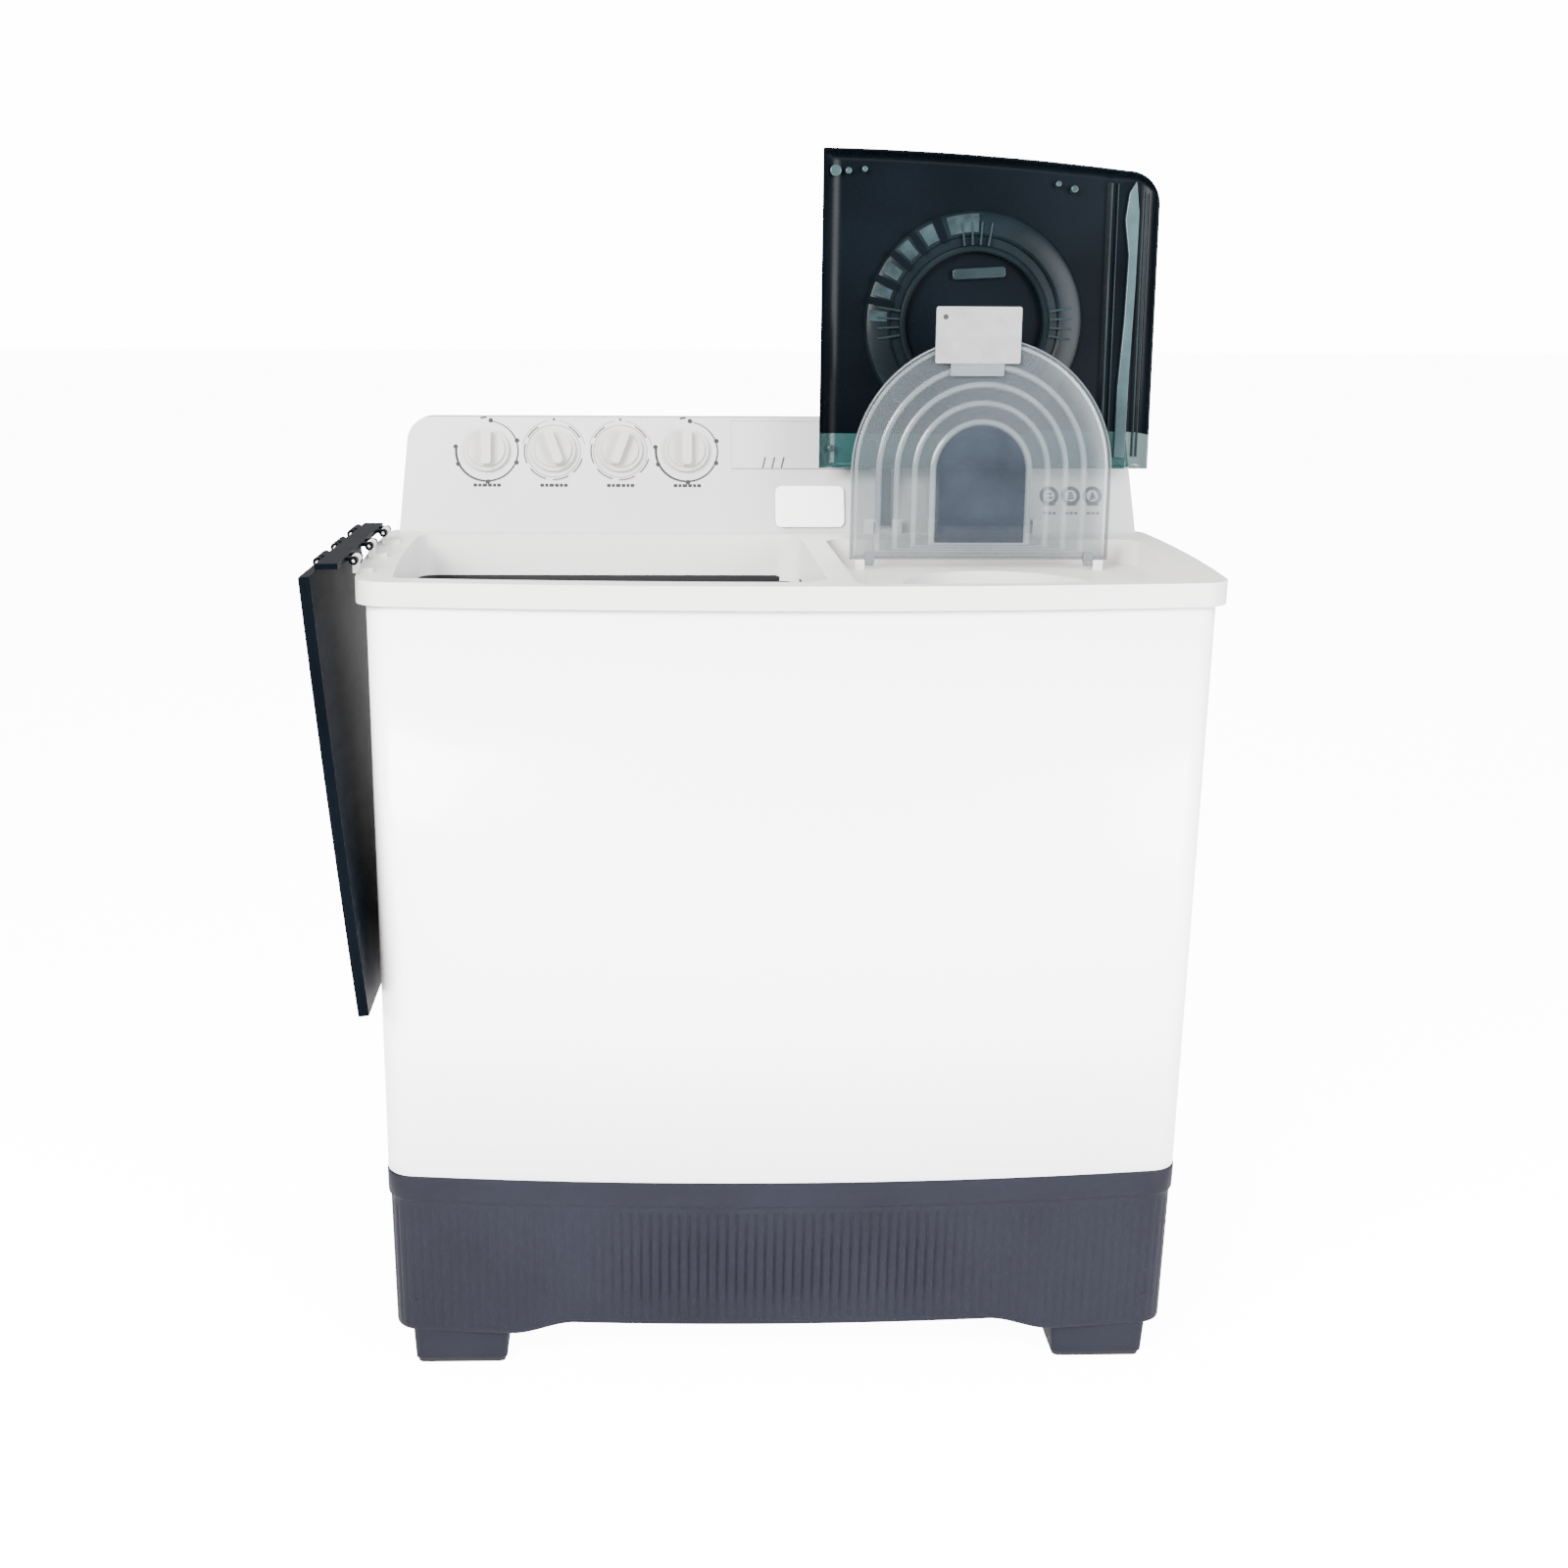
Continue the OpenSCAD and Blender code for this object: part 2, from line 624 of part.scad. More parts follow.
module balance_ring() {
    color("#c9ccd1") place() translate([spin_x, spin_y, basket_z1])
        rotate_extrude($fn = 96) polygon([[mouth_r - 8, 0], [basket_r, 0], [basket_r, 16],
            [basket_r - 4, 20], [mouth_r - 4, 20], [mouth_r - 8, 16]]);
}
module spin_shaft() {
    color("#a9adb3") place() rod([spin_x, spin_y, spin_motor_z1 - 50], shaft_r,
                                 basket_z0 + 26 - spin_motor_z1 + 50);
}
module brake_drum() {
    color("#85898d") place() translate([spin_x, spin_y, drum_z]) difference() {
        union() {
            cylinder(r = drum_r, h = 24);
            cylinder(r = 18, h = 34);
        }
        translate([0, 0, 6]) difference() {
            cylinder(r = drum_r - 6, h = 30);
            cylinder(r = 18, h = 30);
        }
        translate([0, 0, -1]) cylinder(r = shaft_r + fit, h = 60);
    }
}
module spin_motor() {
    color("#55595f") place() translate([spin_x, spin_y, 0]) difference() {
        union() {
            rod([0, 0, spin_motor_z0], spin_motor_r, spin_motor_z1 - spin_motor_z0 - 6);
            rod([0, 0, spin_motor_z1 - 6], 26, 6);
            for (a = [90, 210, 330])
                rotate([0, 0, a]) box([40, -16, 128], [spring_ring + 14, 16, 134]);
        }
        rod([0, 0, spin_motor_z1 - 54], shaft_r + fit, 60);
    }
}
module spin_motor_springs() {
    color("#b0b4b8") place() for (a = [90, 210, 330])
        translate([spin_x + spring_ring * cos(a), spin_y + spring_ring * sin(a), plate_z])
            coil(10, 1.6, 128 - plate_z, 5);
}
module brake_bracket() {
    color("#9a9da1") place() union() {
        box([spin_x + 30, spin_y - 70, spin_motor_z1 - 6],
            [spin_x + 100, spin_y - 30, spin_motor_z1 - 2]);
        rod([spin_x + 86, spin_y - 52, spin_motor_z1 - 2], 4, 56);
    }
}
module brake_lever() {
    z0 = drum_z + 4;
    color("#7d8288") place() translate([spin_x, spin_y, z0]) difference() {
        union() {
            box([80, -52, 0], [92, 60, 12]);
            rod([86, -52, 0], 10, 12);
            box([50, -8, 0], [86, 8, 12]);
        }
        rod([86, -52, -1], 4 + fit, 20);
        rod([0, 0, -1], drum_r + 1.2, 20, $fn = 96);
    }
}
module brake_spring() {
    color("#b0b4b8") place() translate([spin_x + 86, spin_y + 64, drum_z + 10])
        rotate([-90, 0, 0]) coil(6, 1.1, 34, 6);
}
module bellows_seal() {
    color("#2a2a2c") place() translate([spin_x, spin_y, outer_floor])
        rotate_extrude() polygon([[18.4, -14], [22, -14], [26, 6], [30, -8], [34, 6], [39.6, 4],
            [39.6, -4], [46, -4], [46, -8], [36, -8], [34, -2], [30, -14], [26, 0], [25, -18],
            [18.4, -18]]);
}
module spin_bearing() {
    color("#8b8f93") place() translate([spin_x, spin_y, outer_floor - 20]) difference() {
        union() {
            cylinder(r = 18, h = 44);
            translate([0, 0, 44]) cylinder(r = 14, h = 4);
        }
        translate([0, 0, -1]) cylinder(r = shaft_r + fit, h = 60);
    }
}

// ---- plumbing --------------------------------------------------------------------------
module drain_valve_body() {
    color("#cfd2d4") place() difference() {
        union() {
            rod([valve_x, valve_y, valve_z], 24, 100);
            rod_y([valve_x - 60, wash_back + 5, wash_floor + 26], 14, valve_y - wash_back - 5);
            rod_x([valve_x - 60, valve_y, wash_floor + 26], 14, 50);
        }
        rod([valve_x, valve_y, valve_z + 3], 20, 94);
        rod([valve_x, valve_y, valve_z - 1], 11, 10);
        rod([valve_x, valve_y, valve_z + 90], 3 + fit, 20);
        rod_y([valve_x - 60, wash_back, wash_floor + 26], 11, valve_y - wash_back);
        rod_x([valve_x - 60, valve_y, wash_floor + 26], 11, 50);
    }
}
module drain_valve_plug() {
    color("#3a3a3d") place() union() {
        rod([valve_x, valve_y, valve_z + 4], 15, 10);
        rod([valve_x, valve_y, valve_z + 14], 3, 640);
    }
}
module drain_valve_spring() {
    color("#b0b4b8") place() translate([valve_x, valve_y, valve_z + 34])
        coil(9, 1.1, 61, 7);
}
module drain_pipe() {
    color("#b9bcc0") place() difference() {
        union() {
            rod([valve_x, valve_y, drain_z - 4], 15, valve_z - drain_z + 4);
            rod_y([valve_x, valve_y, drain_z], spigot_r - 0.5, back_d - 3 - valve_y);
            rod_y([valve_x, back_d - 3, drain_z], spigot_r, 21);
            rod_x([valve_x - 30, valve_y, join_z], 13, 30);
            rod_y([spin_x, spin_y + outer_r - 6, outer_floor + 16], 11.8, valve_y - spin_y - outer_r + 6);
            rod([spin_x, valve_y, branch_z - 12], 12, outer_floor + 28 - branch_z + 12);
            rod_x([valve_x, valve_y, branch_z], 11.6, spin_x - valve_x);
        }
        rod([valve_x, valve_y, drain_z], 11, 300);
        rod_y([valve_x, valve_y, drain_z], 10.6, 100);
        rod_x([valve_x - 31, valve_y, join_z], 10, 31);
        rod_y([spin_x, spin_y + outer_r - 10, outer_floor + 16], 8.8, valve_y - spin_y - outer_r + 10);
        rod([spin_x, valve_y, branch_z - 8], 9, outer_floor + 28 - branch_z + 4);
        rod_x([valve_x, valve_y, branch_z], 8.6, spin_x - valve_x);
    }
}
module overflow_pipe() {
    color("#b9bcc0") place() difference() {
        union() {
            rod([-30, valve_y, join_z - 14], 14, 814 - join_z + 14);
            rod_x([-30, valve_y, join_z], 13, valve_x);
            rod_y([-30, wash_back + 5, 800], 11.8, valve_y - wash_back - 5);
        }
        rod([-30, valve_y, join_z - 11], 11, 811 - join_z + 11);
        rod_x([-30, valve_y, join_z], 10, valve_x + 1);
        rod_y([-30, wash_back, 800], 9, valve_y - wash_back);
    }
}

// ---- lids ------------------------------------------------------------------------------
// The wash lid's two plates are drawn closed, then turned about their hinges.
// Front edge of the closed lids, which follows the bowed rim
function lid_front(x) = -front_d - 6 + x * x / (2 * bow_r(bow));
function lid_plate(x0, x1, back) =
    concat([[x1, back], [x0, back]],
           [for (i = [0:8]) let (x = x0 + (x1 - x0) * i / 8) [x, lid_front(x)]]);
module leaf_closed() {
    x0 = leaf_axis_x + hinge_gap;
    x1 = leaf_axis_x + leaf_w - hinge_gap;
    difference() {
        union() {
            slab(lid_plate(x0, x1, lid_back), lid_top - leaf_t, lid_top);
            for (y = leaf_ys, s = [-1, 1]) {
                box([leaf_axis_x, y + s * lug_w - 6, lid_top - leaf_t + 2],
                    [x0 + 1, y + s * lug_w + 6, lid_top]);
                rod_y([leaf_axis_x, y + s * lug_w - 6, lid_top], knuckle_r - 0.5, 12);
            }
            for (y = leaf_ys) {
                box([x1 - 1, y - 12, lid_top - leaf_t + 1],
                    [leaf_axis_x + leaf_w, y + 12, lid_top]);
                rod_y([leaf_axis_x + leaf_w, y - 12, lid_top], knuckle_r, 24);
            }
        }
        rod_y([leaf_axis_x, -big / 2, lid_top], pin_r + fit, big);
        rod_y([leaf_axis_x + leaf_w, -big / 2, lid_top], pin_r + fit, big);
    }
}
module wash_plate_closed() {
    x0 = leaf_axis_x + leaf_w + hinge_gap;
    t = wash_lid_t;
    difference() {
        union() {
            difference() {
                slab(lid_plate(x0, lid_right, lid_back), lid_top - t, lid_top);
                intersection() {
                    slab(lid_plate(x0 + wall, lid_right - wall, lid_back - wall),
                         lid_top - t - 1, lid_top - wall);
                    translate([0, wall, 0]) slab(lid_plate(x0, lid_right, lid_back),
                                                 lid_top - t - 2, lid_top);
                }
            }
            for (y = leaf_ys, s = [-1, 1]) {
                box([leaf_axis_x + leaf_w, y + s * 22 - 8, lid_top - 4],
                    [x0 + 1, y + s * 22 + 8, lid_top]);
                rod_y([leaf_axis_x + leaf_w, y + s * 22 - 8, lid_top], knuckle_r, 16);
            }
        }
        rod_y([leaf_axis_x + leaf_w, -big / 2, lid_top], pin_r + fit, big);
        for (k = [0:2])
            translate([lid_right - 90 - 60 * k, 0, 0]) box([-6, -30, lid_top - 1],
                                                           [6, 10, lid_top + 1]);
    }
}
// Turns a closed plate about the deck hinge until the leaf lies open
module open_leaf() {
    translate([leaf_axis_x, 0, lid_top]) rotate([0, 180, 0]) translate([-leaf_axis_x, 0, -lid_top])
        children();
}
// Drops the wash lid from the open leaf's edge until it hangs
module hang() {
    translate([fold_x, 0, lid_top]) rotate([0, -90 - hang_lean, 0]) translate([-fold_x, 0, -lid_top])
        children();
}
module wash_lid_leaf() {
    color("#10202a") place() open_leaf() leaf_closed();
}
module wash_lid() {
    color("#10202a") place() hang() open_leaf() wash_plate_closed();
}
module wash_lid_pins() {
    color("#b8bcc0") place() for (y = leaf_ys) {
        rod_y([leaf_axis_x, y - 24, lid_top], pin_r, 48);
        rod_y([fold_x, y - 32, lid_top], pin_r, 64);
    }
}
// The spin lid is drawn upright in the plane of its hinge: u across, v up from the hinge
module spin_sheet(i, y0, y1) {
    top0 = spin_axis_y - lid_front(spin_lid_x0) - i;
    r = 40 - i;
    x1 = spin_lid_x1 - i;
    tip = spin_axis_y - lid_front(x1 - r) - i;
    translate([0, y1, 0]) rotate([90, 0, 0]) linear_extrude(y1 - y0) polygon(concat(
        [[spin_lid_x0 + i, leg_len + i], [x1, leg_len + i]],
        arc(x1 - r, tip - r, r, 0, 84, 8),
        [for (k = [1:8]) let (x = x1 - r - (x1 - r - spin_lid_x0 - i) * k / 8)
            [x, spin_axis_y - lid_front(x) - i]]));
}
module spin_lid() {
    t = spin_lid_t;
    color("#12242c") place() translate([0, spin_axis_y, spin_axis_z]) rotate([-spin_lean, 0, 0])
        difference() {
            union() {
                difference() {
                    spin_sheet(0, -t + 8, 8);
                    spin_sheet(wall, -t, 5);
                }
                box([leg_x - leg_w / 2, 0, 0], [leg_x + leg_w / 2, 8, leg_len + 6]);
                box([arm_x - arm_w / 2, 0, 0], [arm_x + arm_w / 2, 8, leg_len + 6]);
                rod_x([leg_x - leg_w / 2, 0, 0], 4, leg_w);
                rod_x([arm_x - arm_w / 2, 0, 0], 4, arm_w);
                intersection() {
                    translate([spin_x, 6, ring_d]) rotate([90, 0, 0])
                        rotate_extrude($fn = 72) polygon([[ring_r, 0], [ring_r2, 0],
                            [ring_r2, 2.5], [ring_r + 10, 4], [ring_r + 3, 12], [ring_r, 12]]);
                    spin_sheet(wall, -t, 6);
                }
            }
            rod_x([0, 0, 0], pin_r + fit, big);
        }
}
module spin_lid_pins() {
    color("#b8bcc0") place() {
        rod_x([leg_x - leg_w / 2 - 14, spin_axis_y, spin_axis_z], pin_r, leg_w + 28);
        rod_x([arm_x - arm_w / 2 - 14, spin_axis_y, spin_axis_z], pin_r, arm_w + 28);
    }
}
// The inner lid is drawn upright: an arch with raised concentric ridges
module arch(r, low, y0, y1) {
    translate([inner_x, y1, 0]) rotate([90, 0, 0]) linear_extrude(y1 - y0)
        polygon(concat([[-r, low], [r, low]], arc(0, inner_straight, r, 0, 180, 32)));
}
module spin_inner_lid() {
    color([0.75, 0.82, 0.84, 0.5]) place() translate([0, inner_axis_y, inner_axis_z])
        rotate([-inner_lean, 0, 0]) difference() {
            union() {
                difference() {
                    arch(inner_r, 6, -2, 5);
                    arch(inner_r - 3, 9, -3, 2);
                }
                for (r = [40, 66, 92, 118])
                    difference() {
                        arch(r + 5, 12, -1, 5);
                        arch(r, 11, -2, 6);
                    }
                for (s = [-1, 1])
                    translate([s * ear_x, 0, 0]) {
                        box([inner_x - 5, -4, 0], [inner_x + 5, 4, 12]);
                        rod_x([inner_x - 5, 0, 0], 4, 10);
                    }
            }
            rod_x([0, 0, 0], pin_r + fit, big);
        }
}
module inner_lid_tab() {
    color("#cfcfcf") place() translate([0, inner_axis_y, inner_axis_z]) rotate([-inner_lean, 0, 0])
        union() {
            box([inner_x - 51, -6, inner_straight + 127], [inner_x + 51, -2.2,
                inner_straight + 193]);
            box([inner_x - 32, -6, inner_straight + 112], [inner_x + 32, -3,
                inner_straight + 128]);
        }
}
module inner_lid_pins() {
    color("#b8bcc0") place() for (s = [-1, 1])
        rod_x([inner_x + s * ear_x + (s < 0 ? -18 : -6), inner_axis_y, inner_axis_z], pin_r, 24);
}

// ---- electrics and fasteners -----------------------------------------------------------
module capacitor() {
    color("#e5e5df") place() union() {
        box([-320, 190, plate_z], [-260, 226, plate_z + 52]);
        rod([-350, 208, plate_z], 18, 70);
    }
}
module cord_gland() {
    color("#232327") place() difference() {
        union() {
            rod_y([-300, back_d - 12, plinth_z + 20], 8.9, 14);
            rod_y([-300, back_d - 1.5, plinth_z + 20], 12, 4);
        }
        rod_y([-300, back_d - 20, plinth_z + 20], 4, 40);
    }
}
module cover_screws() {
    z0 = plinth_z + 4;
    z1 = deck_z - rim_h - 4;
    color("#9fa3a8") place() {
        for (x = [-438, 438], z = [z0 + 20, (z0 + z1) / 2, z1 - 20]) {
            rod_y([x, back_d - 1.5, z], 4, 1.5);
            rod_y([x, back_d - 4, z], 2, 3);
        }
        for (x = [-380, 380]) {
            rod_y([x, back_d, deck_z + 64], 4, 1.5);
            rod_y([x, back_d - wall, deck_z + 64], 2, wall + 1);
        }
    }
}

base_plinth();
foot_pads();
cabinet();
back_cover();
top_deck();
control_panel();
control_back_cover();
inlet_spout();
wash_tub();
wash_tub_seal();
spin_outer_tub();
pulsator();
pulsator_screw();
wash_shaft();
gearbox();
gearbox_pulley();
v_belt();
wash_motor();
motor_bracket();
motor_pulley();
spin_basket();
balance_ring();
spin_shaft();
brake_drum();
spin_motor();
spin_motor_springs();
brake_bracket();
brake_lever();
brake_spring();
bellows_seal();
spin_bearing();
filter_holder();
lint_filter();
drain_valve_body();
drain_valve_plug();
drain_valve_spring();
drain_pipe();
overflow_pipe();
water_inlet_nipple();
inlet_channel();
wash_timer();
spin_timer();
wash_selector_switch();
drain_selector_cam();
wash_timer_knob();
wash_selector_knob();
drain_selector_knob();
spin_timer_knob();
wash_lid_leaf();
wash_lid();
wash_lid_pins();
spin_lid();
spin_lid_pins();
spin_inner_lid();
inner_lid_tab();
inner_lid_pins();
safety_switch();
capacitor();
cord_gland();
cover_screws();
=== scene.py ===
"""Looks of the twin tub washer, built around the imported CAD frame.

Lengths here are millimetres in the cabinet's own frame (x from its middle plane, y towards the
back, z from the floor) until at() turns them into metres in the row frame.
"""

import json
import math

import bmesh
import bpy
from mathutils import Matrix, Vector

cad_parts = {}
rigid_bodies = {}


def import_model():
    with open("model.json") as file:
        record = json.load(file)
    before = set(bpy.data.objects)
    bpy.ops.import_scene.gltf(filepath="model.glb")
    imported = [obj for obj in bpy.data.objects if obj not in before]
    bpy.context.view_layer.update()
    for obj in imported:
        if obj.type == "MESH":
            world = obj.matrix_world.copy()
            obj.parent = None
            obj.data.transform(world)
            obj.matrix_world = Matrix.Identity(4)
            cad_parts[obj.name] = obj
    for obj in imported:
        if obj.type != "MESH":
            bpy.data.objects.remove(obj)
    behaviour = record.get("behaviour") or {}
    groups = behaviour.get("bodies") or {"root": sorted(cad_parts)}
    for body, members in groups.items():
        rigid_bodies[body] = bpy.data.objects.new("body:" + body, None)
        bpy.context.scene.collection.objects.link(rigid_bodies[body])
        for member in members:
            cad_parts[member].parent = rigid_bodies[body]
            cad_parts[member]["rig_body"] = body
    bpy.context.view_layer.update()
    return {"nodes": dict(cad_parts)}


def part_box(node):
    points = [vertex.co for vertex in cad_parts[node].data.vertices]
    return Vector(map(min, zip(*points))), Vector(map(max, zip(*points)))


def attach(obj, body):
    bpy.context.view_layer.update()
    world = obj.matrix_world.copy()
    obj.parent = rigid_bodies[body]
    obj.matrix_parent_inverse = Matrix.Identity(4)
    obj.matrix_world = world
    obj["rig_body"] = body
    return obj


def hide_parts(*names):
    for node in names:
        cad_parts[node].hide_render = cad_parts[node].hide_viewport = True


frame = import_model()

MM = 0.001
CABINET_BACK = 281
cabinet_low, cabinet_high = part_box("cabinet")
MID = Vector(((cabinet_low.x + cabinet_high.x) / 2, cabinet_high.y - CABINET_BACK * MM, 0))


def at(x, y, z):
    """A point of the cabinet frame, in metres in the row frame."""
    return MID + Vector((x, y, z)) * MM


# ---- sizes shared by several pieces ---------------------------------------------------------
DECK_Z = 930
RIM_H = 26
BODY_HW = 458
RIM_HW = 484
BOW = 28
BOW_R = (BODY_HW**2 + BOW**2) / (2 * BOW)
PANEL_Y = 178
PANEL_LEAN = math.radians(22)
DIAL_X = [-360, -275, -190, -105]
DIAL_S = 106
SPIN_AXIS = Vector((0, 172, 944))
SPIN_LEAN = math.radians(-4)
INNER_AXIS = Vector((248, 60, 908))
INNER_LEAN = math.radians(-3)
LEAF_AXIS_X = -473
FOLD_X = -510
LID_TOP = 944
HANG_LEAN = math.radians(5.6)
KNUCKLE_R = 4
KNUCKLE_BORE_R = 2.05
SMOOTH_ANGLE = 32
BEVEL_ANGLE = 35
COAT_ROUGHNESS = 0.08
GRAIN_RELIEF = 0.0006


# ---- materials ------------------------------------------------------------------------------
def node_of(tree, kind, x, y, **inputs):
    """A shader node with its inputs set, at a place in the node editor."""
    n = tree.nodes.new(kind)
    n.location = (x, y)
    for key, value in inputs.items():
        n.inputs[key.replace("_", " ")].default_value = value
    return n


def material(name, color, rough=0.4, vary=0.06, tint=0.04, patch=9.0, grain=900.0, depth=0.05,
             metal=0.0, coat=0.0, alpha=1.0, shine=0.5, scratch=0.0, other=None):
    """Moulded or painted surface: soft blotches of colour and gloss, and a fine grain.

    The blotches run from color to other, or else from a little below color to a little above.
    """
    m = bpy.data.materials.new(name)
    m.use_nodes = True
    tree = m.node_tree
    shader = tree.nodes["Principled BSDF"]
    shader.inputs["Metallic"].default_value = metal
    shader.inputs["Specular IOR Level"].default_value = shine
    shader.inputs["Coat Weight"].default_value = coat
    shader.inputs["Coat Roughness"].default_value = COAT_ROUGHNESS
    shader.inputs["Alpha"].default_value = alpha
    where = tree.nodes.new("ShaderNodeTexCoord")
    blotch = node_of(tree, "ShaderNodeTexNoise", -700, 200, Scale=patch, Detail=4.0)
    fine = node_of(tree, "ShaderNodeTexNoise", -700, -200, Scale=grain, Detail=3.0)
    tree.links.new(where.outputs["Object"], blotch.inputs["Vector"])
    tree.links.new(where.outputs["Object"], fine.inputs["Vector"])
    ramp = tree.nodes.new("ShaderNodeValToRGB")
    ramp.color_ramp.elements[0].position = 0.3
    ramp.color_ramp.elements[1].position = 0.7
    ramp.color_ramp.elements[0].color = [c * (1 - tint) for c in color] + [1]
    ramp.color_ramp.elements[1].color = [min(1, c * (1 + tint)) for c in other or color] + [1]
    tree.links.new(blotch.outputs["Fac"], ramp.inputs["Fac"])
    tree.links.new(ramp.outputs["Color"], shader.inputs["Base Color"])
    gloss = node_of(tree, "ShaderNodeMapRange", -400, -50, To_Min=rough - vary, To_Max=rough + vary)
    tree.links.new(blotch.outputs["Fac"], gloss.inputs["Value"])
    tree.links.new(gloss.outputs["Result"], shader.inputs["Roughness"])
    bump = node_of(tree, "ShaderNodeBump", -300, -300, Strength=depth, Distance=GRAIN_RELIEF)
    height = fine.outputs["Fac"]
    if scratch:
        lines = node_of(tree, "ShaderNodeTexNoise", -900, -500, Scale=40.0, Detail=6.0)
        squeeze = tree.nodes.new("ShaderNodeMapping")
        squeeze.inputs["Scale"].default_value = (1, 1, scratch)
        tree.links.new(where.outputs["Object"], squeeze.inputs["Vector"])
        tree.links.new(squeeze.outputs["Vector"], lines.inputs["Vector"])
        height = lines.outputs["Fac"]
    tree.links.new(height, bump.inputs["Height"])
    tree.links.new(bump.outputs["Normal"], shader.inputs["Normal"])
    return m


PAINT = material("cabinet_paint", (0.93, 0.86, 0.86), 0.32, 0.04, 0.0, 1.1, 1500, 0.03, coat=0.2,
                 other=(0.87, 0.88, 0.93))
DECK = material("deck_white", (0.47, 0.465, 0.45), 0.36, 0.05, 0.02, 5, 1300, 0.05)
PANEL = material("panel_white", (0.33, 0.34, 0.335), 0.42, 0.05, 0.03, 6, 1300, 0.06)
SPOUT = material("spout_white", (0.8, 0.8, 0.79), 0.25, 0.05, 0.02, 9, 1300, 0.03)
TUB = material("tub_white", (0.5, 0.52, 0.57), 0.3, 0.05, 0.03, 6, 900, 0.04)
SLATE = material("plinth_slate", (0.0062, 0.0064, 0.0102), 0.55, 0.08, 0.15, 7, 1600, 0.2, shine=0.06)
RUBBER = material("rubber_black", (0.004, 0.004, 0.005), 0.75, 0.08, 0.15, 25, 1400, 0.3, shine=0.2)
COVER = material("cover_grey", (0.4, 0.4, 0.39), 0.5, 0.08, 0.04, 12, 900, 0.12)
LID = material("lid_dark", (0.001, 0.0019, 0.003), 0.28, 0.05, 0.3, 6, 700, 0.02, shine=0.04)
LEAF = material("lid_outer", (0.0008, 0.0015, 0.0026), 0.36, 0.05, 0.3, 6, 700, 0.02, shine=0.01)
# Lighter teal for the spin lid's band nearest the hinge: the lid's own tint, brightened as painted
# light where the lit control panel shows through.
TEAL = material("lid_teal", (0.0095, 0.036, 0.037), 0.14, 0.04, 0.15, 9, 700, 0.02, alpha=0.86,
                shine=0.3)
RING = material("lid_ring", (0.0022, 0.0042, 0.0056), 0.3, 0.05, 0.3, 14, 700, 0.03, shine=0.05)
RAIL = material("lid_rail", (0.006, 0.011, 0.013), 0.2, 0.05, 0.25, 14, 700, 0.03, shine=0.2)
# Pale teal: painted highlight for the streak down the spin lid's right side, and the buffers' own
# colour.
HIGHLIGHT_AND_BUFFER = material("lid_painted_highlight_and_buffer", (0.017, 0.034, 0.038), 0.2, 0.05, 0.45, 14, 700, 0.03, shine=0.3)
# Lighter teal: a painted highlight on the left side of the spin lid's ring.
PAINTED_HIGHLIGHT = material("lid_painted_highlight", (0.0085, 0.0165, 0.019), 0.22, 0.05, 0.55, 40, 700, 0.03, shine=0.3)
CLEAR = material("inner_clear", (0.05, 0.06, 0.066), 0.24, 0.07, 0.1, 8, 500, 0.05, alpha=0.42,
                 shine=0.3)
RIDGE = material("inner_ridge", (0.12, 0.14, 0.15), 0.22, 0.07, 0.08, 12, 500, 0.05, alpha=0.6,
                 shine=0.4)
CORE = material("inner_core", (0.017, 0.022, 0.03), 0.25, 0.06, 0.25, 18, 500, 0.05, alpha=0.74,
                shine=0.2)
LABEL = material("label_grey", (0.16, 0.155, 0.155), 0.55, 0.06, 0.12, 60, 600, 0.05, shine=0.3)
KNOB = material("knob_white", (0.32, 0.315, 0.3), 0.3, 0.05, 0.03, 15, 1200, 0.04)
STEEL = material("bright_steel", (0.5, 0.51, 0.53), 0.25, 0.07, 0.08, 40, 900, 0.1, metal=1,
                 scratch=25)
ZINC = material("zinc_steel", (0.42, 0.43, 0.45), 0.42, 0.1, 0.14, 30, 700, 0.15, metal=1)
CASTING = material("motor_grey", (0.03, 0.033, 0.036), 0.55, 0.08, 0.15, 30, 500, 0.35, shine=0.3)
ALLOY = material("gear_alloy", (0.42, 0.43, 0.44), 0.45, 0.1, 0.1, 30, 450, 0.3, metal=1)
BELT = material("belt_black", (0.004, 0.004, 0.0045), 0.8, 0.08, 0.2, 60, 1500, 0.3, shine=0.2)
BLUE = material("filter_blue", (0.05, 0.1, 0.24), 0.4, 0.06, 0.06, 30, 900, 0.1)
VALVE = material("valve_grey", (0.16, 0.17, 0.18), 0.5, 0.06, 0.06, 30, 900, 0.15)
PULSATOR = material("pulsator_blue", (0.16, 0.23, 0.36), 0.3, 0.06, 0.05, 16, 900, 0.06)
CREAM = material("timer_cream", (0.25, 0.24, 0.2), 0.5, 0.06, 0.06, 40, 900, 0.12)
INLET = material("inlet_blue", (0.008, 0.03, 0.13), 0.4, 0.06, 0.08, 40, 900, 0.1, shine=0.3)
BLACK = material("switch_black", (0.004, 0.004, 0.005), 0.5, 0.08, 0.15, 40, 900, 0.2, shine=0.25)
PRINT = material("print_grey", (0.014, 0.015, 0.014), 0.6, 0.05, 0.2, 200, 1500, 0.05, shine=0.2)
PRINT_SOFT = material("print_soft", (0.05, 0.052, 0.046), 0.6, 0.05, 0.2, 200, 1500, 0.05, shine=0.2)
PRINT_PINK = material("print_pink", (0.22, 0.09, 0.1), 0.6, 0.05, 0.15, 200, 1500, 0.05, shine=0.2)
PRINT_GREEN = material("print_green", (0.1, 0.125, 0.085), 0.6, 0.05, 0.2, 200, 1500, 0.05,
                       shine=0.2)


# ---- mesh helpers ---------------------------------------------------------------------------
def smooth(mesh, angle=SMOOTH_ANGLE):
    """Smooth shading that keeps edges sharper than angle."""
    mesh.shade_smooth()
    mesh.set_sharp_from_angle(angle=math.radians(angle))


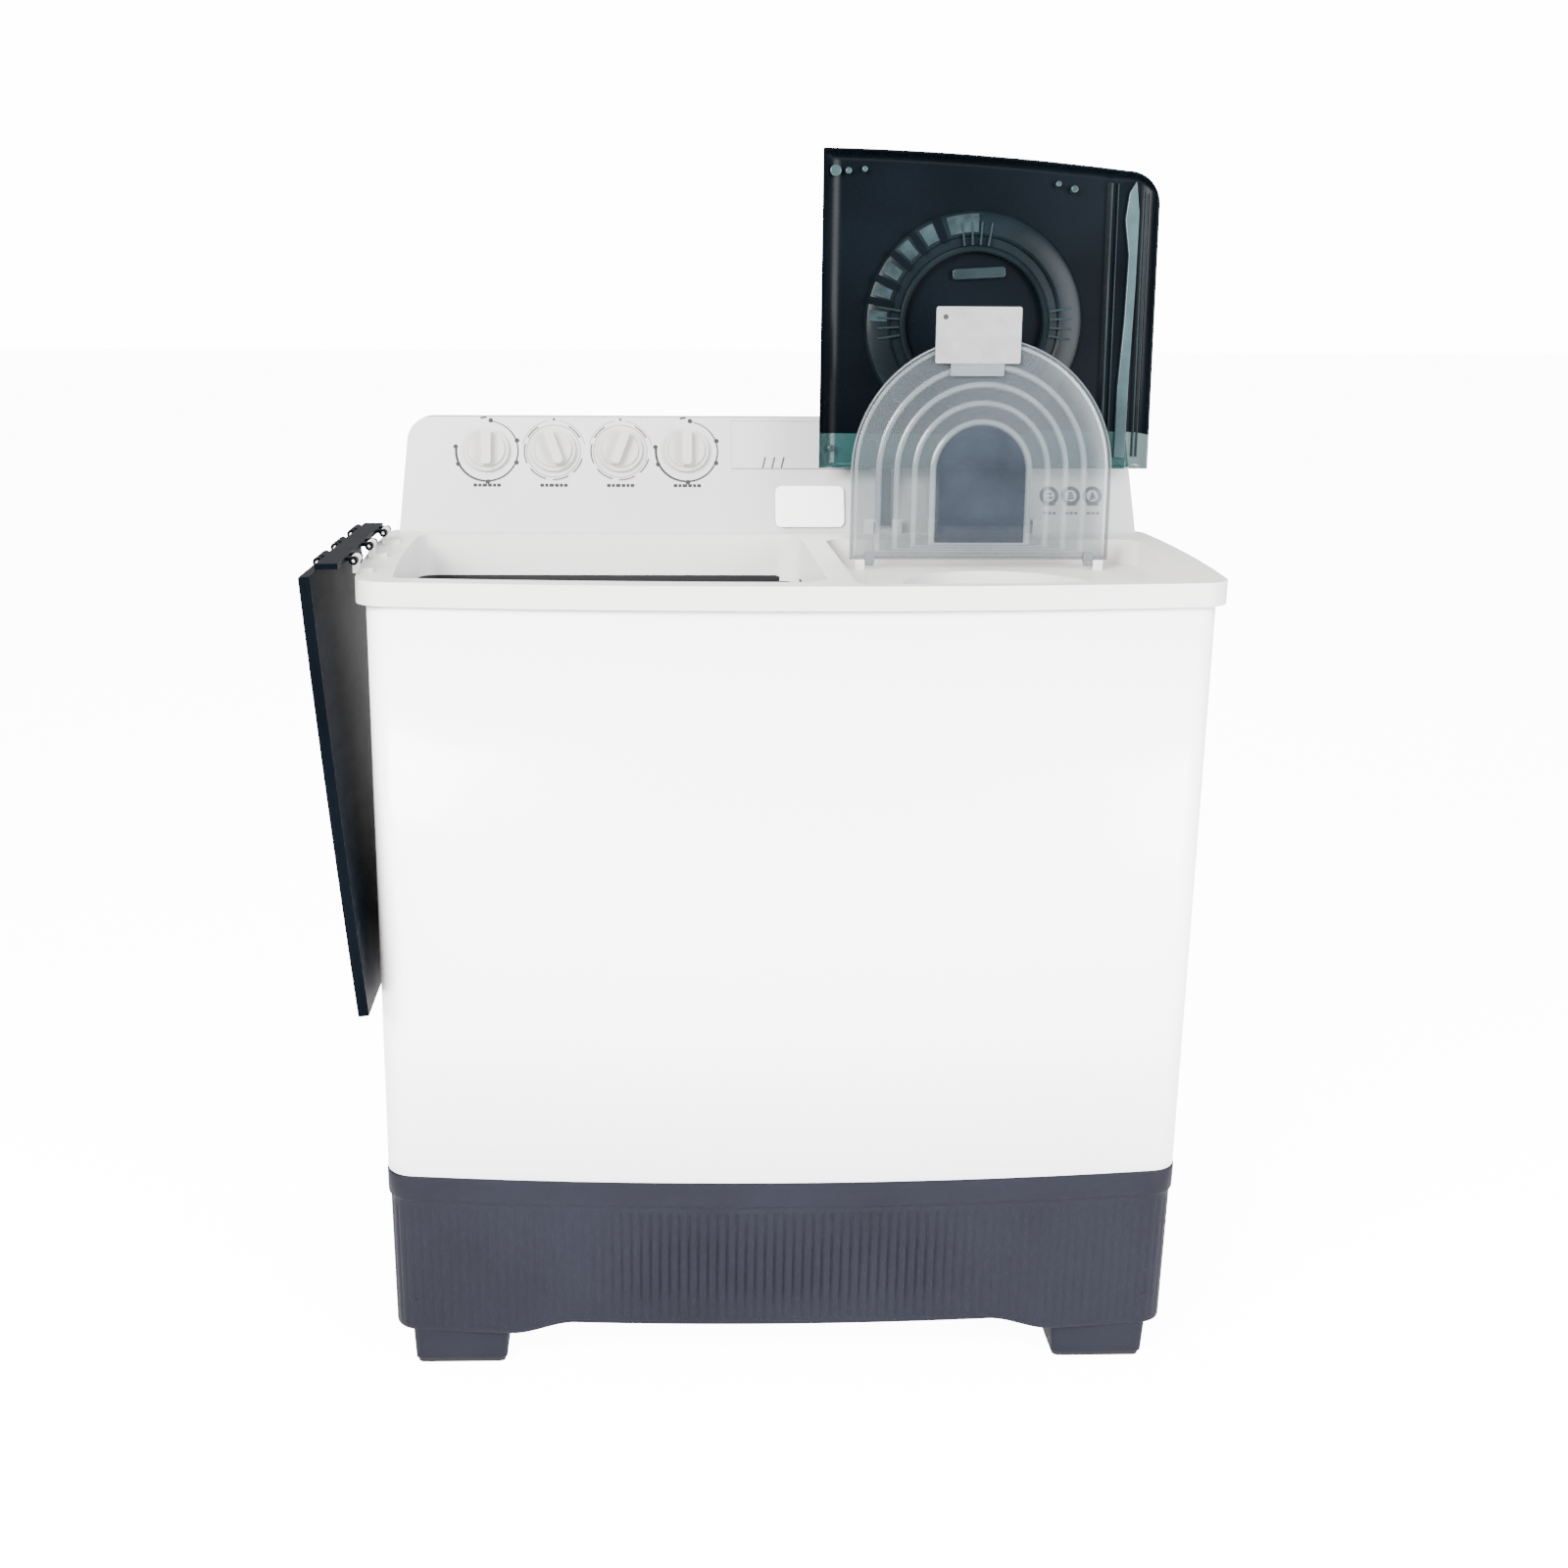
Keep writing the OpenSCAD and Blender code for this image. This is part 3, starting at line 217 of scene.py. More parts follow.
def piece(name, verts, faces, body, slot, mats, *replaced, angle=SMOOTH_ANGLE):
    """A new piece from row-frame points, which rides on a body."""
    mesh = bpy.data.meshes.new(name)
    mesh.from_pydata([tuple(v) for v in verts], [], faces)
    bm = bmesh.new()
    bm.from_mesh(mesh)
    bmesh.ops.recalc_face_normals(bm, faces=bm.faces)
    bm.to_mesh(mesh)
    bm.free()
    for m in mats:
        mesh.materials.append(m)
    smooth(mesh, angle)
    ob = bpy.data.objects.new(name, mesh)
    bpy.context.scene.collection.objects.link(ob)
    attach(ob, body)
    if replaced:
        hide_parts(*replaced)
    return ob


def bevel(ob, width, segments=3):
    """Rounds a piece's edges by width, in millimetres, and keeps its flats flat."""
    b = ob.modifiers.new("Rounded", "BEVEL")
    b.width = width * MM
    b.segments = segments
    b.limit_method = "ANGLE"
    b.angle_limit = math.radians(BEVEL_ANGLE)
    b.miter_outer = "MITER_ARC"
    w = ob.modifiers.new("Flats", "WEIGHTED_NORMAL")
    w.keep_sharp = True
    return ob


def refine(node, mat, width, segments):
    """The CAD node's shape again, with whole faces and rounded edges, in place of the node."""
    source = frame["nodes"][node]
    bm = bmesh.new()
    bm.from_mesh(source.data)
    bmesh.ops.remove_doubles(bm, verts=bm.verts, dist=0.00002)
    bmesh.ops.dissolve_limit(bm, angle_limit=math.radians(0.5), verts=bm.verts, edges=bm.edges)
    mesh = bpy.data.meshes.new(node + "_shell")
    bm.to_mesh(mesh)
    bm.free()
    mesh.materials.append(mat)
    smooth(mesh)
    ob = bpy.data.objects.new(mesh.name, mesh)
    bpy.context.scene.collection.objects.link(ob)
    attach(ob, source["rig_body"])
    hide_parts(node)
    bevel(ob, width, segments)


def loft(rings, cap_start=False, cap_end=False, wrap=False):
    """Points and faces that join rings of equal length. wrap joins the last ring to the first."""
    n = len(rings[0])
    verts = [p for ring in rings for p in ring]
    last = len(rings) if wrap else len(rings) - 1
    faces = []
    for j in range(last):
        k = (j + 1) % len(rings)
        for i in range(n):
            h = (i + 1) % n
            faces.append((j * n + i, j * n + h, k * n + h, k * n + i))
    if cap_start:
        faces.append(tuple(range(n)))
    if cap_end:
        faces.append(tuple(range((len(rings) - 1) * n, len(rings) * n)))
    return verts, faces


class Shapes:
    """Collects prisms in a plane of their own, so that they make one piece."""

    def __init__(self, place):
        self.place = place
        self.verts = []
        self.faces = []

    def prism(self, outline, low, high):
        """A closed outline of (a, b) points, from depth low to depth high."""
        rings = [[self.place(a, b, d) for a, b in outline] for d in (low, high)]
        verts, faces = loft(rings, True, True)
        self.add(verts, faces)

    def add(self, verts, faces):
        """Points and faces made elsewhere."""
        base = len(self.verts)
        self.verts += verts
        self.faces += [tuple(base + i for i in f) for f in faces]

    def bar(self, a, b, w, h, low, high, turn=0.0, r=0.0):
        """A bar of width w and height h about (a, b), with corners of radius r."""
        c, s = math.cos(turn), math.sin(turn)
        points = round_rect(-w / 2, -h / 2, w / 2, h / 2, r) if r else [
            (-w / 2, -h / 2), (w / 2, -h / 2), (w / 2, h / 2), (-w / 2, h / 2)]
        self.prism([(a + x * c - y * s, b + x * s + y * c) for x, y in points], low, high)

    def disc(self, a, b, r, low, high, n):
        """A disc of radius r about (a, b), with n sides."""
        self.prism([(a + r * math.cos(t), b + r * math.sin(t)) for t in turns(n)], low, high)

    def band(self, a, b, r, width0, width1, start, end, low, high):
        """An arc of radius r from start to end, in degrees, whose width goes from one to the other."""
        n = max(4, int(abs(end - start) / 6))
        outer, inner = [], []
        for i in range(n + 1):
            t = math.radians(start + (end - start) * i / n)
            half = (width0 + (width1 - width0) * i / n) / 2
            outer.append((a + (r + half) * math.cos(t), b + (r + half) * math.sin(t)))
            inner.append((a + (r - half) * math.cos(t), b + (r - half) * math.sin(t)))
        for i in range(n):
            self.prism([outer[i], outer[i + 1], inner[i + 1], inner[i]], low, high)

    def knuckle(self, a, width):
        """A short tube about the plane's own first axis, which is a lid's hinge line."""
        ends = (a - width / 2, a + width / 2)
        outer, bore = ([[self.place(end, r * math.cos(t), r * math.sin(t)) for t in turns(28)]
                        for end in ends] for r in (KNUCKLE_R, KNUCKLE_BORE_R))
        self.add(*loft([outer[0], outer[1], bore[1], bore[0]], wrap=True))


def turns(n):
    """The n angles that share out a full turn."""
    return [2 * math.pi * i / n for i in range(n)]


def round_rect(x0, y0, x1, y1, r, n=5):
    """Corner points of a rectangle with round corners, anticlockwise."""
    points = []
    for cx, cy, start in ((x1 - r, y1 - r, 0), (x0 + r, y1 - r, 90), (x0 + r, y0 + r, 180),
                          (x1 - r, y0 + r, 270)):
        for i in range(n + 1):
            t = math.radians(start + 90 * i / n)
            points.append((cx + r * math.cos(t), cy + r * math.sin(t)))
    return points


def plan(hw, front, back, front_r, rear_r, spacing):
    """Plan outline with a bowed front, as (x, y, normal x, normal y), evenly spaced."""
    centre_y = front + BOW_R
    corner_y = centre_y - math.sqrt((BOW_R - front_r) ** 2 - (hw - front_r) ** 2)
    lean = math.atan2(corner_y - centre_y, hw - front_r)
    arcs = [(hw - rear_r, back - rear_r, rear_r, 0, math.pi / 2),
            (-hw + rear_r, back - rear_r, rear_r, math.pi / 2, math.pi),
            (-hw + front_r, corner_y, front_r, math.pi, math.pi - lean),
            (0, centre_y, BOW_R, math.pi - lean, 2 * math.pi + lean),
            (hw - front_r, corner_y, front_r, 2 * math.pi + lean, 2 * math.pi)]
    path = []
    for cx, cy, r, start, end in arcs:
        n = max(8, int(r * abs(end - start) / 3))
        for i in range(n + 1):
            t = start + (end - start) * i / n
            path.append((cx + r * math.cos(t), cy + r * math.sin(t), math.cos(t), math.sin(t)))
    return resample(path, spacing)


def resample(path, spacing):
    """A closed path's points again, evenly spaced along it."""
    lengths = [0.0]
    for a, b in zip(path, path[1:] + path[:1]):
        lengths.append(lengths[-1] + math.hypot(b[0] - a[0], b[1] - a[1]))
    count = round(lengths[-1] / spacing)
    out, j = [], 0
    for i in range(count):
        s = lengths[-1] * i / count
        while lengths[j + 1] < s:
            j += 1
        f = (s - lengths[j]) / max(1e-9, lengths[j + 1] - lengths[j])
        a, b = path[j], path[(j + 1) % len(path)]
        out.append(tuple(p + (q - p) * f for p, q in zip(a, b)))
    return out


def ease(t):
    """Smooth step from 0 to 1."""
    t = max(0.0, min(1.0, t))
    return t * t * (3 - 2 * t)


# ---- plinth ---------------------------------------------------------------------------------
PLINTH_TOP = 246
BAND_H = 31
FLUTE_PITCH = 11.0
FLUTE_STEPS = 7
FLUTE_D = 2.4
FLUTE_WEAK = 0.35
BAND_PROUD = 2.6
PLINTH_DRAFT = 3.0
SKIRT_FOOT = 46
ARCH_RISE = 17
FLOOR_PLATE_Z = 0.088
FLOOR_PLATE_HALF = 0.002
FOOT_X = 377
FOOT_YS = (-206, 236)
FOOT_HW, FOOT_HD = 56, 33
FOOT_STEPS = ((6, -3.5), (7.5, -2.2), (40, -0.5), (86, 1.5))
PAD_STEPS = ((0, -6), (1, -4.5), (5, -4), (6, -4))


def plinth_foot(x, y):
    """Height of the plinth's lower edge: it arches up in front, between the feet."""
    if y > -150:
        return SKIRT_FOOT
    return SKIRT_FOOT + ARCH_RISE * ease((318 - abs(x)) / 76)


def plinth():
    """Skirt with a plain band along its top, and flutes below it that fade towards the sides."""
    outline = plan(BODY_HW + 1, -269, 282, 34, 20, FLUTE_PITCH / FLUTE_STEPS)

    def ring(inset, height, fluted=0.0):
        points = []
        for i, (x, y, nx, ny) in enumerate(outline):
            z = height(x, y)
            d = inset + PLINTH_DRAFT * (PLINTH_TOP - z) / PLINTH_TOP
            phase = (i % FLUTE_STEPS) / FLUTE_STEPS
            strong = FLUTE_WEAK + (1 - FLUTE_WEAK) * ease((260 - abs(x)) / 120)
            d += fluted * strong * FLUTE_D * max(0.0, math.cos(2 * math.pi * phase)) ** 1.5
            points.append(at(x - nx * d, y - ny * d, z))
        return points

    step = PLINTH_TOP - BAND_H
    low = BAND_PROUD
    rings = [
        ring(6.5, plinth_foot), ring(low + 2.0, plinth_foot),
        ring(low + 0.6, lambda x, y: plinth_foot(x, y) + 1.2),
        ring(low, lambda x, y: plinth_foot(x, y) + 3),
        ring(low, lambda x, y: plinth_foot(x, y) + 8),
        ring(low, lambda x, y: plinth_foot(x, y) + 11, 1),
        ring(low, lambda x, y: 110, 1), ring(low, lambda x, y: 160, 1),
        ring(low, lambda x, y: step - 11, 1), ring(low, lambda x, y: step - 7),
        ring(low, lambda x, y: step - 2), ring(low - 0.5, lambda x, y: step - 0.6),
        ring(0.9, lambda x, y: step + 0.2), ring(0.2, lambda x, y: step + 1.2),
        ring(0, lambda x, y: step + 3), ring(0, lambda x, y: PLINTH_TOP - 2.5),
        ring(0.7, lambda x, y: PLINTH_TOP - 0.8), ring(2, lambda x, y: PLINTH_TOP),
        ring(4.5, lambda x, y: PLINTH_TOP), ring(6.5, lambda x, y: PLINTH_TOP - 3),
    ]
    verts, faces = loft(rings, wrap=True)
    piece("plinth_skirt", verts, faces, "root", "plinth_slate", [SLATE], "base_plinth", angle=40)


def plinth_floor():
    """Floor plate with its slots."""
    curve = bpy.data.curves.new("plinth_floor", "CURVE")
    curve.dimensions = "2D"
    curve.fill_mode = "BOTH"
    outline = [(p[0], p[1]) for p in plan(BODY_HW - 7, -261, 274, 30, 16, 12)]
    slots = [round_rect(46 * i - 204, -40, 46 * i - 176, 120, 6) for i in range(-4, 5)]
    for points in [outline] + slots:
        spline = curve.splines.new("POLY")
        spline.points.add(len(points) - 1)
        spline.use_cyclic_u = True
        for p, (x, y) in zip(spline.points, points):
            place = at(x, y, 0)
            p.co = (place.x, place.y, 0, 1)
    curve.extrude = FLOOR_PLATE_HALF
    temporary = bpy.data.objects.new("plinth_floor_curve", curve)
    bpy.context.scene.collection.objects.link(temporary)
    mesh = bpy.data.meshes.new_from_object(temporary)
    bpy.data.objects.remove(temporary)
    mesh.transform(Matrix.Translation((0, 0, FLOOR_PLATE_Z)))
    verts = [v.co.copy() for v in mesh.vertices]
    faces = [tuple(f.vertices) for f in mesh.polygons]
    piece("plinth_floor_plate", verts, faces, "root", "plinth_slate", [SLATE])


def foot_part(shapes, x, y, steps, rounding):
    """A block of a foot about (x, y), which grows by the steps' amounts at their heights."""
    rings = []
    for z, grow in steps:
        shape = round_rect(-FOOT_HW - grow, -FOOT_HD - grow, FOOT_HW + grow, FOOT_HD + grow,
                           7 + rounding * grow)
        rings.append([at(x + a, y + b, z) for a, b in shape])
    shapes.add(*loft(rings, True, True))


def feet():
    """Four moulded feet, each with a rubber pad under it."""
    plastic = Shapes(at)
    rubber = Shapes(at)
    for x in (-FOOT_X, FOOT_X):
        for y in FOOT_YS:
            foot_part(plastic, x, y, FOOT_STEPS, 0.5)
            foot_part(rubber, x, y, PAD_STEPS, 0)
    piece("plinth_feet", plastic.verts, plastic.faces, "root", "plinth_slate", [SLATE])
    piece("rubber_pads", rubber.verts, rubber.faces, "root", "foot_rubber", [RUBBER], "foot_pads")


plinth()
plinth_floor()
feet()

# ---- cabinet, deck and covers ---------------------------------------------------------------
refine("top_deck", DECK, 2.2, 3)
refine("control_panel", PANEL, 3.0, 4)
refine("inlet_spout", SPOUT, 1.4, 3)
refine("pulsator", PULSATOR, 1.6, 3)
refine("balance_ring", TUB, 1.5, 3)


WASH_MIDDLE = (-190, -40)
# Rings (grow, z) of a dark strip of painted shade below the wash opening's collar.
SHADE_GAP_RINGS = ((0.4, 867), (-1, 868.5), (-1.2, 877), (-0.3, 879), (0.4, 879), (0.4, 871))


def opening_outline():
    """Outline of the wash opening, found by rays from its middle."""
    wide = [(p[0], p[1] - 10) for p in plan(RIM_HW - 42, -234, 162, 13, 22, 6)]
    wide = [(x * (1 - (y + 10 - 90) ** 2 / (6000 * RIM_HW)), y) for x, y in wide]
    box = round_rect(-RIM_HW, -244, 36, 170, 30, 8)
    cx, cy = WASH_MIDDLE
    points = []
    for t in turns(220):
        reach = min(ray(shape, WASH_MIDDLE, t) for shape in (wide, box))
        points.append((cx + reach * math.cos(t), cy + reach * math.sin(t)))
    return points


def ray(shape, start, angle):
    """Distance from start to the outline along a direction."""
    dx, dy = math.cos(angle), math.sin(angle)
    best = 5000.0
    for (ax, ay), (bx, by) in zip(shape, shape[1:] + shape[:1]):
        ex, ey = bx - ax, by - ay
        cross = dx * ey - dy * ex
        if abs(cross) < 1e-9:
            continue
        t = ((ax - start[0]) * ey - (ay - start[1]) * ex) / cross
        u = ((ax - start[0]) * dy - (ay - start[1]) * dx) / cross
        if t > 0 and -1e-6 <= u <= 1 + 1e-6:
            best = min(best, t)
    return best


def painted_shade_gap():
    """Dark strip between the deck's collar and the tub: painted shade for the shaded gap below the
    collar.
    """
    outline = opening_outline()
    cx, cy = WASH_MIDDLE
    rings = []
    for grow, z in SHADE_GAP_RINGS:
        ring = []
        for x, y in outline:
            reach = math.hypot(x - cx, y - cy)
            ring.append(at(x + (x - cx) / reach * grow, y + (y - cy) / reach * grow, z))
        rings.append(ring)
    verts, faces = loft(rings, wrap=True)
    piece("painted_shade_gap", verts, faces, "root", "seal_black", [RUBBER])


painted_shade_gap()


# ---- control panel prints -------------------------------------------------------------------
def on_face(x, s, n):
    """A point on the dial face: x across, s up the slope, n out of it."""
    y = PANEL_Y + s * math.sin(PANEL_LEAN) - n * math.cos(PANEL_LEAN)
    return at(x, y, DECK_Z + s * math.cos(PANEL_LEAN) + n * math.sin(PANEL_LEAN))


PRINT_LOW, PRINT_TOP = -0.3, 0.18
RECESS_LOW, RECESS_TOP = -1.2, -0.85
TIMER_MARK_R = 40.5
ICON_XS = (360, 388, 416)


def printed(name, mat, draw):
    """A piece of thin print on the dial face."""
    shapes = Shapes(on_face)
    draw(shapes)
    piece(name, shapes.verts, shapes.faces, "root", "label_grey", [mat])


def timer_marks(shapes):
    """A widening arc with dots along it, round each timer."""
    for x in (DIAL_X[0], DIAL_X[3]):
        shapes.band(x, DIAL_S, 39.5, 1.2, 3.2, 84, -190, PRINT_LOW, PRINT_TOP)
        for t in (84, 20, -22, -88, -155, -188):
            a = math.radians(t)
            shapes.disc(x + TIMER_MARK_R * math.cos(a), DIAL_S + TIMER_MARK_R * math.sin(a), 3.1,
                        PRINT_LOW, PRINT_TOP + 0.02, 12)
        shapes.bar(x - 5, DIAL_S + 44, 8, 2.2, PRINT_LOW, PRINT_TOP, 0.15)


def selector_marks(shapes):
    """A dot above each selector, and short arcs round it."""
    for x in DIAL_X[1:3]:
        shapes.disc(x, DIAL_S + 42, 1.9, PRINT_LOW, PRINT_TOP, 12)
        for a, b in ((28, 60), (122, 152), (165, 205), (218, 255), (268, 300), (312, 345)):
            shapes.band(x, DIAL_S, 37.5, 1.9, 1.9, a, b, PRINT_LOW, PRINT_TOP)


def tinted_ring(x):
    """Drawing of the thin coloured rings round one selector."""
    def draw(shapes):
        shapes.band(x, DIAL_S, 34.3, 1.0, 1.0, 0, 360, PRINT_LOW, PRINT_TOP)
        shapes.band(x, DIAL_S, 40.6, 0.8, 0.8, 12, 80, PRINT_LOW, PRINT_TOP)
        shapes.band(x, DIAL_S, 40.6, 0.8, 0.8, 100, 168, PRINT_LOW, PRINT_TOP)
    return draw


def caption_marks(shapes):
    """Rows of plain dashes under the dials and the icons."""
    widths = (5, 4, 6, 5, 4, 5)
    for x in DIAL_X:
        a = x - 17
        for w in widths:
            shapes.bar(a + w / 2, 61, w, 4.2, PRINT_LOW, PRINT_TOP, r=1.0)
            a += w + 1.2
    for x in ICON_XS:
        for dx in (-6, 0, 6):
            shapes.bar(x + dx, 26, 4.2, 3.0, PRINT_LOW, PRINT_TOP, r=0.8)


def icon_marks(shapes):
    """Three round icons, with two, three and four bars in them."""
    for k, x in enumerate(ICON_XS):
        shapes.band(x, 49, 10, 5, 5, 0, 360, PRINT_LOW, PRINT_TOP)
        for j in range(k + 2):
            s = 44 + 10 * (j + 0.5) / (k + 2)
            shapes.bar(x, s, 9 - 2 * j, 2.2, PRINT_LOW, PRINT_TOP, 0.2 * k)
        shapes.bar(x, 37.5, 15, 3.0, PRINT_LOW, PRINT_TOP, r=1)


def recess_marks(shapes):
    """Three slanted strokes over a thin line, on the floor of the shallow recess."""
    for j in range(3):
        shapes.bar(-6 + 12 * j, 92, 2.2, 15, RECESS_LOW, RECESS_TOP, -0.25)
    shapes.bar(42, 84, 178, 1.0, RECESS_LOW, RECESS_TOP)


printed("timer_marks", PRINT, timer_marks)
printed("selector_marks", PRINT_SOFT, selector_marks)
printed("selector_ring_green", PRINT_GREEN, tinted_ring(DIAL_X[1]))
printed("selector_ring_pink", PRINT_PINK, tinted_ring(DIAL_X[2]))
printed("caption_marks", PRINT, caption_marks)
printed("icon_marks", PRINT, icon_marks)
printed("recess_marks", PRINT_SOFT, recess_marks)


def deck_clip():
    """Small dark clip on the deck at the right end of the housing."""
    shapes = Shapes(at)
    shapes.bar(455, 184, 15, 4, DECK_Z - 0.5, DECK_Z + 2.4, r=1.5)
    piece("deck_clip", shapes.verts, shapes.faces, "root", "switch_black", [BLACK])


deck_clip()
for knob in ("wash_timer_knob", "wash_selector_knob", "drain_selector_knob", "spin_timer_knob"):
    refine(knob, KNOB, 1.3, 3)


# ---- spin lid -------------------------------------------------------------------------------
LID_X0, LID_X1 = 60, 476
LEG_LEN = 68
BAND_V = 112
TIP_R = 40
SKIN = 3
SKIRT = 20
ROLL_X = 405
RING_C = (252, 246)
RIB_R = 108
PLATE_R = 121


def lid_front(x):
    """Distance of the closed lid's front edge in front of the middle plane."""
    return 282 - x * x / (2 * BOW_R)


def lid_end(u):
    """Length of the spin lid from its hinge at u, with the tip's right corner rounded."""
    corner = LID_X1 - TIP_R
    if u <= corner:
        return SPIN_AXIS.y + lid_front(u)
    tip = SPIN_AXIS.y + lid_front(corner)
    return tip - TIP_R + math.sqrt(max(0.0, TIP_R**2 - (u - corner) ** 2))


def on_spin_lid(u, v, w):
    """A point on the upright spin lid: u across, v up from its hinge, w towards the back."""
    c, s = math.cos(SPIN_LEAN), math.sin(SPIN_LEAN)
    return at(u, SPIN_AXIS.y + w * c - v * s, SPIN_AXIS.z + w * s + v * c)


def lid_depth(u, v, inset=0.0):
    """Depth of the lid's face: flat, and rolled towards edges that stand inset from the lid's."""
    def roll(distance, reach, drop):
        t = min(1.0, max(0.0, 1 - (distance - inset) / reach))
        return drop * (1 - math.sqrt(1 - t * t))

    edges = (roll(LID_X1 - u, 46, SKIRT - SKIN), roll(lid_end(u) - v, 9, SKIRT - SKIN),
             roll(u - LID_X0, 7, SKIRT - SKIN), roll(v - LEG_LEN, 3, 8))
    step = -2.2 * ease((u - 414) / 5)
    return max(-12.0, 5 - max(edges) + step * (1 if u < 452 else 0.4))


def even(t):
    """Even spacing."""
    return t


def fine_ends(t):
    """Spacing that closes up towards both ends."""
    return (1 - math.cos(math.pi * t)) / 2


def fine_end(t):
    """Spacing that closes up towards the far end."""
    return math.sin(math.pi * t / 2)


def spread(start, end, n, spacing):
    """Values from start to end in n steps, spaced by one of the functions above."""
    return [start + (end - start) * spacing(i / n) for i in range(n + 1)]


def spin_lid_shell():
    """Thin lid with a rolled edge, dark above, and lighter teal in the band nearest its hinge: the
    lid's own tint brightened there as painted light from the lit control panel behind it.
    """
    us = spread(LID_X0, ROLL_X, 26, even)[:-1] + spread(ROLL_X, LID_X1, 34, fine_end)
    rows = 60
    inner, outer = [], []
    for u in us:
        end = lid_end(u)
        vs = [LEG_LEN + (end - LEG_LEN) * t for t in spread(0, 1, rows, fine_ends)]
        inner.append([(u, v, lid_depth(u, v, SKIN)) for v in vs])
        outer.append([(u, v, min(8.0, lid_depth(u, v) + SKIN)) for v in vs])
    verts, faces, dark = [], [], []
    n = rows + 1
    for side in (inner, outer):
        verts += [on_spin_lid(*p) for column in side for p in column]
    count = len(us) * n

    def face(*index):
        faces.append(index)
        middle = sum(((verts[i] - at(0, 0, 0)).z for i in index)) / len(index) / MM
        dark.append(middle > SPIN_AXIS.z + BAND_V)

    for i in range(len(us) - 1):
        for j in range(rows):
            a = i * n + j
            face(a, a + 1, a + n + 1, a + n)
            face(count + a, count + a + n, count + a + n + 1, count + a + 1)
    rim = [(i * n, (i + 1) * n) for i in range(len(us) - 1)]
    rim += [((len(us) - 1) * n + j, (len(us) - 1) * n + j + 1) for j in range(rows)]
    rim += [((i + 1) * n + rows, i * n + rows) for i in range(len(us) - 1)]
    rim += [(j + 1, j) for j in range(rows)]
    for a, b in rim:
        face(a, b, count + b, count + a)
    ob = piece("spin_lid_shell", verts, faces, "spin_lid", "lid_teal",
               [TEAL, LID], "spin_lid", angle=60)
    # Faces below BAND_V get the teal of painted see-through light, those above the lid's dark colour.
    for polygon, is_dark in zip(ob.data.polygons, dark):
        polygon.material_index = 1 if is_dark else 0


def lathe_on_lid(name, profile):
    """A closed (radius, depth) profile turned about the middle of the spin lid's ring."""
    rings = []
    for t in turns(120):
        rings.append([on_spin_lid(RING_C[0] + r * math.cos(t), RING_C[1] + r * math.sin(t), w)
                      for r, w in profile])
    verts, faces = loft(rings, wrap=True)
    piece(name, verts, faces, "spin_lid", "lid_teal", [RING], angle=28)


def spin_lid_ring():
    """Moulded ring and raised crown, with short ribs, plates of painted highlight on its upper left,
    and the slots between them.
    """
    lathe_on_lid("spin_lid_ring", [(86, 5.6), (86, -5), (87.5, -6.6), (91, -6.8), (93, -5.5),
                                   (95, -1.5), (120, 0.2), (133, 1.2), (136, 3), (137, 5.6)])
    lathe_on_lid("spin_lid_crown", [(104, 2), (106, -3.4), (109, -5.2), (128, -3.8), (134, -1.4),
                                    (136.5, 2)])
    ribs = Shapes(on_spin_lid)
    for middle in (90, 180, 0):
        for k in (-9, -3, 3, 9):
            t = math.radians(middle + k)
            ribs.bar(RING_C[0] + RIB_R * math.cos(t), RING_C[1] + RIB_R * math.sin(t), 28, 2.4,
                     -6.4, 3, t)
    piece("spin_lid_ribs", ribs.verts, ribs.faces, "spin_lid", "lid_teal", [RAIL])
    # Plates on the ring's upper left only: a painted highlight where the key light catches the ring.
    plates = Shapes(on_spin_lid)
    for middle, half in ((98, 9), (119, 4), (134, 3.5), (149, 3.5), (162, 3), (176, 3)):
        plates.band(RING_C[0], RING_C[1], PLATE_R, 22, 22, middle - half, middle + half, -5.6, 2)
    piece("spin_lid_painted_highlight", plates.verts, plates.faces, "spin_lid", "lid_teal", [PAINTED_HIGHLIGHT])
    gaps = Shapes(on_spin_lid)
    for middle in (112, 127, 141, 156, 168):
        t = math.radians(middle)
        gaps.bar(RING_C[0] + PLATE_R * math.cos(t), RING_C[1] + PLATE_R * math.sin(t), 31, 8.5,
                 -6.2, 3, t, 2)
    piece("spin_lid_slots", gaps.verts, gaps.faces, "spin_lid", "lid_teal", [LID])


def spin_lid_trim():
    """Moulded rails, a painted highlight streak along the right side, the bar plate and the buffers.
    """
    thin = Shapes(on_spin_lid)
    for u, width, low in ((419, 2.2, -1.5), (427, 1.2, -1), (458, 1.6, -4), (463, 1.2, -5)):
        middle = (LEG_LEN + lid_end(u)) / 2
        thin.bar(u, middle, width, lid_end(u) - LEG_LEN - 30, low, 4.5, r=0.5)
    piece("spin_lid_rails", thin.verts, thin.faces, "spin_lid", "lid_teal", [RAIL])
    # Pale band down the right side: a painted highlight where the rolled edge reflects the light.
    wide = Shapes(on_spin_lid)
    wide.prism([(449, 82), (450, 180), (453, 290), (454, 380), (449, 418), (441, 404), (437, 372),
                (443, 330), (441, 250), (436, 170), (435, 82)], -2.6, 4.5)
    bevel(piece("spin_lid_painted_streak", wide.verts, wide.faces, "spin_lid", "lid_teal", [HIGHLIGHT_AND_BUFFER]), 0.8)
    bar = Shapes(on_spin_lid)
    bar.bar(257, 307, 66, 13, -1.5, 5.5, 0.06, 4)
    bevel(piece("spin_lid_plate", bar.verts, bar.faces, "spin_lid", "lid_teal", [RAIL]), 0.8)
    stops = Shapes(on_spin_lid)
    for u, v, r in ((76, 428, 7), (92, 428, 4), (112, 430, 3.5), (352, 414, 3.5), (372, 408, 4.5),
                    (76, 92, 4.5)):
        stops.disc(u, v, r, -4, 5.5, 18)
    bevel(piece("spin_lid_buffers", stops.verts, stops.faces, "spin_lid", "lid_teal", [HIGHLIGHT_AND_BUFFER]), 1)


